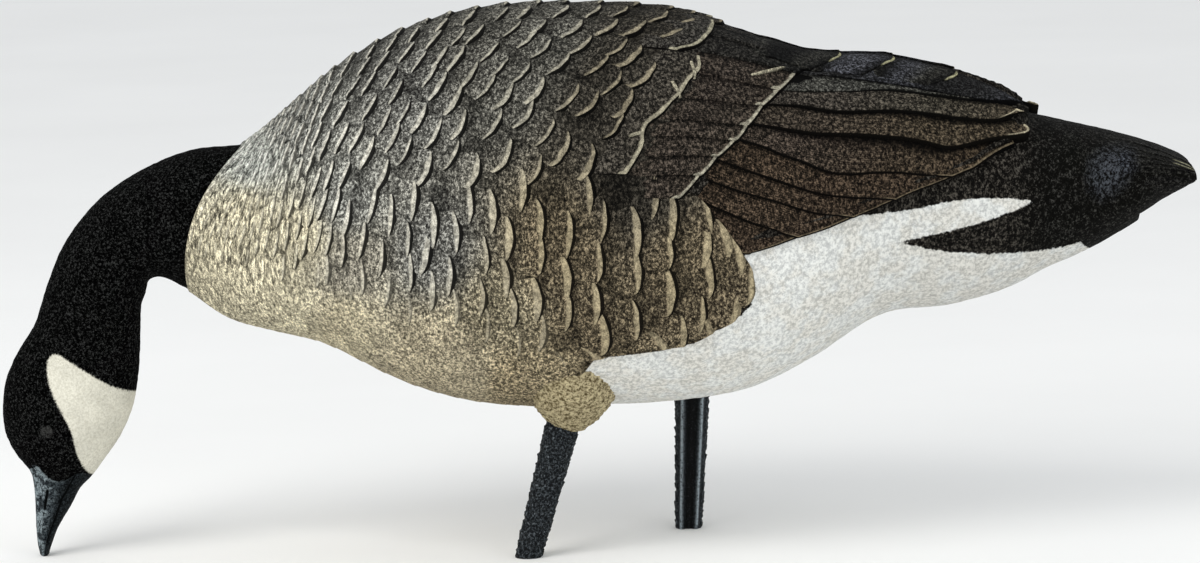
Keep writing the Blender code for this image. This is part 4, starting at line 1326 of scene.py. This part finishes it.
# two long feathers end the back: a ragged pale line with small forks
REAR_TOP = ((7.54, 7), (7.54, 12), (7.49, 19), (7.33, 28), (7.08, 32.5))
REAR_LOW = ((7.34, 34), (7.35, 39), (7.21, 44), (7.11, 49), (7.00, 52), (6.88, 56), (6.73, 59), (6.68, 62), (6.68, 65), (6.60, 69), (6.50, 73))
FORKS = (((7.28, 43), (7.27, 40), (7.23, 37)), ((7.10, 50.5), (7.06, 48.0), (7.00, 45.5)), ((6.68, 61.8), (6.61, 62.2), (6.52, 63.0)))
for side in (1, -1):
    blade(backs, ((6.55, 32), (7.34, 34)), ((5.65, 72), (6.50, 73)), end=REAR_LOW, side=side, lift=front_lift, high=(2.0, 0.5), base=-2.0, root=2.6,
          rise_over=1.0, band_tip=2.3, whole_tip=True, ground=((0.040, 0.036, 0.030), (0.036, 0.032, 0.026), (0.032, 0.028, 0.022)),
          pale=(0.40, 0.365, 0.265), shade=0.0, seed=0.5, long=44, wide=26, dark=1.0, skirt=1.3)
    blade(backs, ((6.7, 2), (7.54, 7)), ((6.25, 31), (7.08, 32.5)), end=REAR_TOP, side=side, lift=front_lift, high=(2.0, 2.2), base=-2.0, root=2.6,
          rise_over=1.0, band_tip=2.1, whole_tip=True, ground=((0.036, 0.033, 0.027), (0.034, 0.031, 0.026), (0.030, 0.028, 0.024)),
          pale=(0.42, 0.39, 0.28), shade=0.0, seed=0.5, long=40, wide=18, dark=1.0, skirt=1.2)
    for path in FORKS:
        barb(backs, path, side, front_lift, 1.7, 2.1)

add(fronts.build("breast_feathers"), paint)
add(backs.build("mantle_feathers"), paint)
add(flanks.build("flank_feathers"), paint)
add(wings.build("wing_feathers"), paint)

# ------------------------------------------------------------------ tail blades
tails = Tract()
TAIL_EDGES = (0, 24, 42, 56, 68, 79, 90)


def tail_lift(u, theta):
    return 0 * u


# sheen paints the tail's blue-grey sheen into the blades' ground colour
for side in (1, -1):
    for i in range(len(TAIL_EDGES) - 1, 0, -1):
        t0, t1 = TAIL_EDGES[i - 1], TAIL_EDGES[i]
        reach = 16.72 - 0.06 * i
        up = [(u, t0 - 1.5) for u in np.linspace(13.0, reach, 5)]
        dn = [(u, t1) for u in np.linspace(13.0, reach, 5)]
        blade(tails, up, dn, side=side, lift=tail_lift, high=(-0.25, 0.55), base=-2.6, root=2.8, bulge=3.0, tip_round=0.7, waist=0.92,
              ground=((0.008, 0.0076, 0.0066), (0.0095, 0.0092, 0.0083), (0.012, 0.012, 0.010)), band_tip=0.8 if i in (2, 3) else 0.0, grit=1.3,
              pale=(0.34, 0.33, 0.22), seed=0.5, long=36, wide=10, dark=0.8, skirt=0.35, shade=0.5, rise_over=0.55, sheen=1.0)
    # under side
    for i, (t0, t1) in enumerate(((92, 108), (108, 126), (126, 150), (150, 178))):
        reach = 16.7 - 0.05 * i
        up = [(u, t0) for u in np.linspace(14.2, reach, 4)]
        dn = [(u, t1) for u in np.linspace(14.2, reach, 4)]
        blade(tails, up, dn, side=side, lift=tail_lift, high=(-0.3, 0.5), base=-2.0, root=2.4, bulge=2.0, tip_round=0.6, waist=0.92,
              ground=(0.009, 0.0088, 0.008), grit=1.3, seed=0.5, long=26, wide=8, dark=0.8, skirt=0.3, shade=0.5, sheen=0.6)
add(tails.build("tail_feathers"), paint)

# --------------------------------------------------------------------- thighs
thighs_pts, thighs_quads, thighs_tris = [], [], []
count = 0
THIGH = ((0.0, 9.0), (2.0, 11.5), (6.0, 15.5), (11.0, 19.8), (17.0, 24.0), (23.0, 25.5), (32.0, 26.0), (42.0, 25.0), (52.0, 20.5), (60.0, 11.0))
for name, side, x_foot, x_top, z_top in LEGS:
    prof = np.array(THIGH)
    nz, na = 100, 120
    ups = np.concatenate([np.linspace(0, 4, 14), np.linspace(4.5, 60, nz - 14)])
    radius = np.interp(ups, prof[:, 0], prof[:, 1])
    radius = np.convolve(np.pad(radius, 3, mode="edge"), np.ones(7) / 7, "valid")
    radius = radius - 0.4 + 0.6 * smooth((ups - 10) / 20)
    a = np.arange(na) * 2 * math.pi / na
    cx = x_top + 6.0 + ups * 0.10
    cy = side * (LEG_STANCE + ups * 0.45)
    ring = np.stack([cx[:, None] + radius[:, None] * np.cos(a), cy[:, None] + radius[:, None] * 0.94 * np.sin(a),
                     np.broadcast_to((z_top + ups)[:, None], (nz, na))], -1)
    axis = np.stack([cx, cy, z_top + ups], -1)[:, None, :]
    out = ring - axis
    out /= np.linalg.norm(out, axis=-1, keepdims=True)
    # lumps like tiny feathers laid downward
    rowz = ups[:, None] / 3.2
    cell = a[None] / (2 * math.pi) * 30 + 0.5 * (np.floor(rowz) % 2)
    bump_ = np.abs(np.sin(math.pi * cell)) * (1 - (rowz - np.floor(rowz)))
    g = 0.9 * bump_ * smooth(ups / 3)[:, None] + 0.7 * noise(ring, 2.2, 5) + 0.6 * noise(ring, 5.0, 6) - 0.4
    ring = ring + out * g[..., None] * smooth(ups / 2.5)[:, None, None]
    hub0 = ring[0].mean(0)
    hub1 = ring[-1].mean(0) + np.array([0, 0, 1.0])
    g_ = count + np.arange(nz * na).reshape(nz, na)
    gn = np.roll(g_, -1, 1)
    thighs_pts += [ring.reshape(-1, 3), [hub0], [hub1]]
    thighs_quads.append(np.stack([g_[:-1], gn[:-1], gn[1:], g_[1:]], -1).reshape(-1, 4))
    h0, h1 = count + nz * na, count + nz * na + 1
    thighs_tris.append(np.stack([np.full(na, h0), gn[0], g_[0]], -1))
    thighs_tris.append(np.stack([np.full(na, h1), g_[-1], gn[-1]], -1))
    count += nz * na + 2
thighs = mesh_of("thighs", np.concatenate([np.asarray(p) for p in thighs_pts]),
                 [np.concatenate(thighs_tris), np.concatenate(thighs_quads)])


def thigh_material():
    m = Nodes("thigh_paint", roughness=0.9, specular=0.05)
    lumps = m.noise(430, 4, 0.75)
    speck = m.noise(900, 3, 0.7)
    both = m.math("ADD", m.math("MULTIPLY", lumps, 0.70), m.math("MULTIPLY", speck, 0.30))
    colour = m.mix(m.step(both, 0.40, 0.59), (0.075, 0.053, 0.022), (0.54, 0.465, 0.285))
    colour = m.mix(m.step(m.noise(700, 3, 0.7), 0.60, 0.68), colour, (0.050, 0.032, 0.014))
    return m.done(colour, m.bump(both, 0.0016, 0.9))


add(thighs, thigh_material())

# ----------------------------------------------------------------------- legs


def leg_mesh(name, side, x_foot, x_top, z_top):
    nz, na = 330, 110
    zs = np.concatenate([[0.0, 0.25, 0.7], np.linspace(1.2, z_top + LEG_SEAT, nz - 3)])
    a = np.arange(na) * 2 * math.pi / na
    f = zs / z_top
    cx = x_foot + (x_top - x_foot) * f
    radius = LEG_END_RADIUS + (LEG_TOP_RADIUS - LEG_END_RADIUS) * np.minimum(f, 1)
    zz, aa = np.meshgrid(zs, a, indexing="ij")
    rr = np.broadcast_to(radius[:, None], zz.shape).copy()
    # the channel that faces the other leg, with a rib at either side
    centre = -0.5 * math.pi if side > 0 else 0.5 * math.pi
    off = np.abs(np.angle(np.exp(1j * (aa - centre))))
    half = math.radians(LEG_GROOVE_HALF_ANGLE)
    channel = smooth((half + 0.10 - off) / 0.16)
    inner = smooth((math.radians(62) - off) / 0.25)
    rr -= LEG_GROOVE_DEPTH * channel
    rib = np.exp(-((off - half - 0.20) / 0.10) ** 2)
    rr += 0.6 * rib
    # scutes: rows of rounded plates, each row half a plate round from the last
    pitch = 6.0
    row_ = zz / pitch
    k = np.floor(row_)
    v = row_ - k
    cells = 11
    w = aa / (2 * math.pi) * cells + 0.5 * (k % 2)
    w = w - np.floor(w)
    plate = (1 - np.abs(2 * w - 1) ** 2.4) * (0.25 + 0.75 * v) * (1 - smooth((v - 0.82) / 0.18))
    rr += (0.95 * plate - 0.35) * (1 - inner)
    rr += 0.55 * (1 - inner) * noise(np.stack([np.cos(aa) * 9, np.sin(aa) * 9, zz], -1), 2.0, 8)
    rr += 0.12 * inner * noise(np.stack([np.cos(aa) * 9, np.sin(aa) * 9, zz * 0.4], -1), 2.0, 9)
    # edges of the end
    rr *= (1 - 0.05 * smooth(1 - zz / 1.2))
    p = np.stack([cx[:, None] + rr * np.cos(aa), side * LEG_STANCE + 0.92 * rr * np.sin(aa), zz], -1)
    height = np.where(inner > 0.5, 0.6 - channel, plate)
    g = np.arange(len(zs) * na).reshape(len(zs), na)
    gn = np.roll(g, -1, 1)
    quads = np.stack([g[:-1], gn[:-1], gn[1:], g[1:]], -1).reshape(-1, 4)
    hub0, hub1 = len(zs) * na, len(zs) * na + 1
    tris = np.concatenate([np.stack([np.full(na, hub0), gn[0], g[0]], -1), np.stack([np.full(na, hub1), g[-1], gn[-1]], -1)])
    points = np.concatenate([p.reshape(-1, 3), [p[0].mean(0)], [p[-1].mean(0)]])
    ext = lambda x, fill: np.concatenate([x.ravel(), [fill, fill]])
    return mesh_of(name + "_scaled", points, [tris, quads], {"plate": ext(height, 0), "inner": ext(inner, 0), "channel": ext(channel, 0), "rib": ext(rib, 0)})


def leg_material():
    m = Nodes("leg_paint", roughness=0.6, specular=0.08)
    plate, inner, channel, rib = m.attr("plate"), m.attr("inner"), m.attr("channel"), m.attr("rib")
    lumps = m.noise(720, 3, 0.7)
    speck = m.noise(1300, 3, 0.7)
    both = m.math("ADD", m.math("MULTIPLY", lumps, 0.6), m.math("MULTIPLY", speck, 0.4))
    scaly = m.mix(m.step(both, 0.46, 0.64), (0.002, 0.0028, 0.0035), (0.060, 0.070, 0.078))
    worn = m.step(m.math("MULTIPLY_ADD", plate, 0.22, both), 0.66, 0.80)
    scaly = m.mix(worn, scaly, (0.135, 0.155, 0.170))
    flat = m.mix(m.step(both, 0.46, 0.66), (0.004, 0.005, 0.006), (0.045, 0.052, 0.058))
    colour = m.mix(inner, scaly, flat)
    # painted highlight: pale blue-grey along the ribs beside the channel
    edge = m.math("MULTIPLY", rib, m.step(both, 0.36, 0.54))
    colour = m.mix(edge, colour, (0.31, 0.36, 0.39))
    # painted shade: the channel darker than the flat side
    hollow = m.mix(m.step(both, 0.54, 0.68), (0.0015, 0.0018, 0.002), (0.030, 0.033, 0.036))
    colour = m.mix(channel, colour, hollow)
    return m.done(colour, m.bump(both, 0.0008, 0.7))


leg_paint = leg_material()
for spec in LEGS:
    add(leg_mesh(*spec), leg_paint, spec[0])

# --------------------------------------------------------------- head and neck
NV, NA = 470, 150
steps_v = np.linspace(0, len(HEAD) - 1, 1801)
line = section(hermite(HEAD, steps_v), 0.0)
line2 = section(hermite(HEAD, steps_v), math.pi)
mid_line = (line + line2) / 2
weight = 1 + 1.4 * smooth((steps_v - 10.5) / 2.0)
run = np.concatenate([[0], np.cumsum(np.linalg.norm(np.diff(mid_line, axis=0), axis=1) * weight[1:] + 0.01)])
vs = np.interp(np.linspace(0, run[-1], NV), run, steps_v)
phis = np.arange(NA) * 2 * math.pi / NA
phis = np.where(phis > math.pi, phis - 2 * math.pi, phis)
vv, pp = np.meshgrid(vs, phis, indexing="ij")
rows_h = hermite(HEAD, vv)
head = section(rows_h, pp)


def normals(grid_pts):
    """Outward unit normals of a closed-round grid."""
    dv = np.gradient(grid_pts, axis=0)
    da = np.roll(grid_pts, -1, 1) - np.roll(grid_pts, 1, 1)
    n = np.cross(dv, da)
    n /= np.maximum(np.linalg.norm(n, axis=-1, keepdims=True), 1e-9)
    mid = grid_pts.mean(1, keepdims=True)
    if ((grid_pts - mid) * n).sum() < 0:
        n = -n
    return n


hn = normals(head)
hview = side_view(head)
bill = distance_inside(hview, rounded(BILL, 3))
cheek = distance_inside(hview, rounded(CHEEK, 3))
lift_h = np.zeros_like(vv)
# the bill: a rounded ridge on top, flatter sides, nostrils, the mouth's line
on_bill = smooth((bill + 0.2) / 1.2)
side_share = np.abs(np.sin(pp))
lift_h -= 0.75 * on_bill
lift_h -= 1.1 * on_bill * np.exp(-((np.degrees(np.abs(pp)) - 48) / 17) ** 2) * smooth((17.2 - vv) / 2)
d_eye = np.linalg.norm((hview - np.array([47, 432])) * UNIT, axis=-1) + 30 * (np.abs(head[..., 1]) < 8)
lift_h += 1.7 * np.sqrt(np.clip(1 - (d_eye / 4.0) ** 2, 0, 1)) + 0.45 * np.exp(-((d_eye - 5.2) / 1.0) ** 2) - 0.35 * np.exp(-((d_eye - 4.1) / 0.5) ** 2)


def near_line(pts, a, b):
    a, b = np.array(a, float), np.array(b, float)
    ab = b - a
    t = np.clip(((pts - a) @ ab) / (ab @ ab), 0, 1)
    return np.linalg.norm(pts - a - t[..., None] * ab, axis=-1) * UNIT


side_only = np.abs(head[..., 1]) > 3.0
nostril = near_line(hview, (46.5, 492), (43.5, 509)) + 30 * ~side_only
lift_h -= 1.3 * np.exp(-(nostril / 1.1) ** 2)
lift_h += 0.4 * np.exp(-((nostril - 2.4) / 0.8) ** 2)
mouth = np.minimum(near_line(hview, (77, 474), (62, 500)), near_line(hview, (62, 500), (48, 543))) + 30 * (np.abs(head[..., 1]) < 2.0)
lift_h -= 0.9 * np.exp(-(mouth / 0.75) ** 2) * smooth((bill + 1) / 2)
# brow over the eye and a full cheek
lift_h += 0.8 * np.exp(-(((hview[..., 0] - 33) / 12) ** 2 + ((hview[..., 1] - 425) / 22) ** 2))
lift_h += 1.2 * np.exp(-(((hview[..., 0] - 88) / 26) ** 2 + ((hview[..., 1] - 415) / 34) ** 2)) * side_share
# a fuller lower bill
lift_h += 2.4 * np.exp(-((hview[..., 1] - 502) / 24) ** 2) * smooth((np.degrees(np.abs(pp)) - 100) / 60) * on_bill
lift_h += 0.22 * noise(head, 2.4, 3) * (1 - on_bill) + 0.10 * noise(head, 1.6, 4) * on_bill
rim_fade = smooth(vv / 0.15) * smooth((17.6 - vv) / 0.6)
head = head + hn * (lift_h * rim_fade)[..., None]
neck = [section(HEAD[0], phis) + inward * NECK_SEAT, section(HEAD[0], phis) + inward * 4.0]
rings = np.concatenate([np.array(neck), head])
nr = len(rings)
points = np.concatenate([rings.reshape(-1, 3), [rings[0].mean(0)], [rings[-1].mean(0)]])
g = np.arange(nr * NA).reshape(nr, NA)
gn = np.roll(g, -1, 1)
quads = np.stack([g[:-1], gn[:-1], gn[1:], g[1:]], -1).reshape(-1, 4)
tris = np.concatenate([np.stack([np.full(NA, nr * NA), gn[0], g[0]], -1), np.stack([np.full(NA, nr * NA + 1), g[-1], gn[-1]], -1)])
ext = lambda x, fill: np.concatenate([np.repeat(x[:1], 2, 0).ravel(), x.ravel(), [fill, fill]])
head_obj = mesh_of(
    "head_and_neck", points, [tris, quads],
    {"bill": ext(bill, -9), "cheek": ext(cheek, -9), "eye": ext(d_eye, 99), "mouth": ext(mouth, 99), "nostril": ext(nostril, 99),
     "ridge": ext(np.degrees(np.abs(pp)), 90)},
)


def head_material():
    m = Nodes("flock", roughness=0.95, specular=0.02)
    speck = m.noise(1300, 3, 0.75)
    lumps = m.noise(640, 4, 0.72)
    both = m.math("ADD", m.math("MULTIPLY", lumps, 0.6), m.math("MULTIPLY", speck, 0.4))
    black = m.mix(m.step(both, 0.50, 0.62), (0.0001, 0.0001, 0.0001), (0.034, 0.035, 0.034))
    soft = m.math("ADD", m.math("MULTIPLY", m.noise(700, 3, 0.6), 0.6), m.math("MULTIPLY", both, 0.4))
    cream = m.mix(m.step(soft, 0.36, 0.62), (0.57, 0.55, 0.46), (0.755, 0.735, 0.63))
    cream = m.times(cream, m.line(m.noise(70, 2, 0.5), 0.35, 0.65, 0.87, 0.99))
    ragged = m.math("MULTIPLY_ADD", both, 5.0, -2.5)
    on_cheek = m.step(m.math("ADD", m.attr("cheek"), ragged), -0.8, 0.8)
    colour = m.mix(on_cheek, black, cream)
    # bill: slate, blue-grey patches along the ridge on the side toward the light, wear with a painted highlight, dark
    # below
    ridge = m.attr("ridge")
    n1 = m.noise(420, 4, 0.75)
    slate = m.mix(m.step(both, 0.42, 0.60), (0.002, 0.003, 0.004), (0.050, 0.062, 0.069))
    patch = m.math("MULTIPLY", m.step(m.math("ADD", m.math("MULTIPLY", n1, 0.5), m.math("MULTIPLY", m.noise(170, 2, 0.5), 0.5)), 0.46, 0.56), m.step(ridge, 60, 112, 1.0, 0.0))
    patch = m.math("MULTIPLY", patch, m.step(both, 0.36, 0.56))
    slate = m.mix(patch, slate, (0.27, 0.325, 0.345))
    slate = m.mix(m.math("MULTIPLY", m.step(ridge, 96, 116), 0.75), slate, m.mix(m.step(both, 0.5, 0.66), (0.0015, 0.002, 0.002), (0.034, 0.040, 0.044)))
    slit = m.math("MAXIMUM", m.step(m.attr("mouth"), 0.2, 0.9, 1.0, 0.0), m.step(m.attr("nostril"), 0.7, 1.9, 1.0, 0.0))
    slate = m.mix(slit, slate, (0.0015, 0.002, 0.002))
    on_bill = m.step(m.math("ADD", m.attr("bill"), ragged), -0.6, 0.6)
    colour = m.mix(on_bill, colour, slate)
    eye = m.attr("eye")
    on_eye = m.step(m.math("ADD", eye, m.math("MULTIPLY", ragged, 0.5)), 3.4, 4.2, 1.0, 0.0)
    colour = m.mix(on_eye, colour, m.mix(m.step(both, 0.42, 0.58), (0.004, 0.004, 0.004), (0.040, 0.040, 0.038)))
    rough = m.math("SUBTRACT", 0.95, m.math("MULTIPLY", on_bill, 0.40))
    rough = m.math("SUBTRACT", rough, m.math("MULTIPLY", on_eye, 0.45))
    height = m.math("ADD", m.math("MULTIPLY", both, 1.2), m.math("MULTIPLY", m.math("MULTIPLY", n1, on_bill), 1.2))
    return m.done(colour, m.bump(height, 0.0009, 0.85), rough)


add(head_obj, head_material(), "head")

# ------------------------------------------------------------- floor and light


def floor_material():
    m = Nodes("floor", roughness=0.9, specular=0.1)
    grain = m.noise(3.0, 3, 0.5)
    colour = m.mix(m.line(grain, 0.3, 0.7), (0.90, 0.90, 0.89), (0.93, 0.93, 0.92))
    return m.done(colour)


span = 9000.0
pts = np.array([[-span, -span, 0.0], [span, -span, 0.0], [span, span, 0.0], [-span, span, 0.0]])
floor = mesh_of("floor", pts, [np.array([[0, 1, 2, 3]])])
floor.data.materials.append(floor_material())

world = bpy.data.worlds.new("studio")
bpy.context.scene.world = world
world.use_nodes = True
world.node_tree.nodes["Background"].inputs["Color"].default_value = (0.96, 0.98, 1.0, 1)
world.node_tree.nodes["Background"].inputs["Strength"].default_value = 0.80


def area_light(name, at, towards, size, power, colour=(1, 1, 1)):
    data = bpy.data.lights.new(name, "AREA")
    data.shape = "RECTANGLE"
    data.size, data.size_y = size
    data.energy = power
    data.color = colour
    light = bpy.data.objects.new(name, data)
    light.location = at
    light.rotation_mode = "QUATERNION"
    light.rotation_quaternion = (Vector(towards) - Vector(at)).to_track_quat("-Z", "Y")
    bpy.context.scene.collection.objects.link(light)


area_light("key", (-1.7, -1.9, 2.2), (0.0, 0.0, 0.18), (2.0, 2.0), 58, (1.0, 0.985, 0.955))
area_light("fill", (1.6, -2.6, 0.9), (0.05, 0.0, 0.15), (2.2, 1.6), 20, (0.96, 0.98, 1.0))

scene = bpy.context.scene
scene.view_settings.view_transform = "Standard"
scene.view_settings.look = "None"
scene.view_settings.exposure = 0.0
scene.view_settings.gamma = 1.0
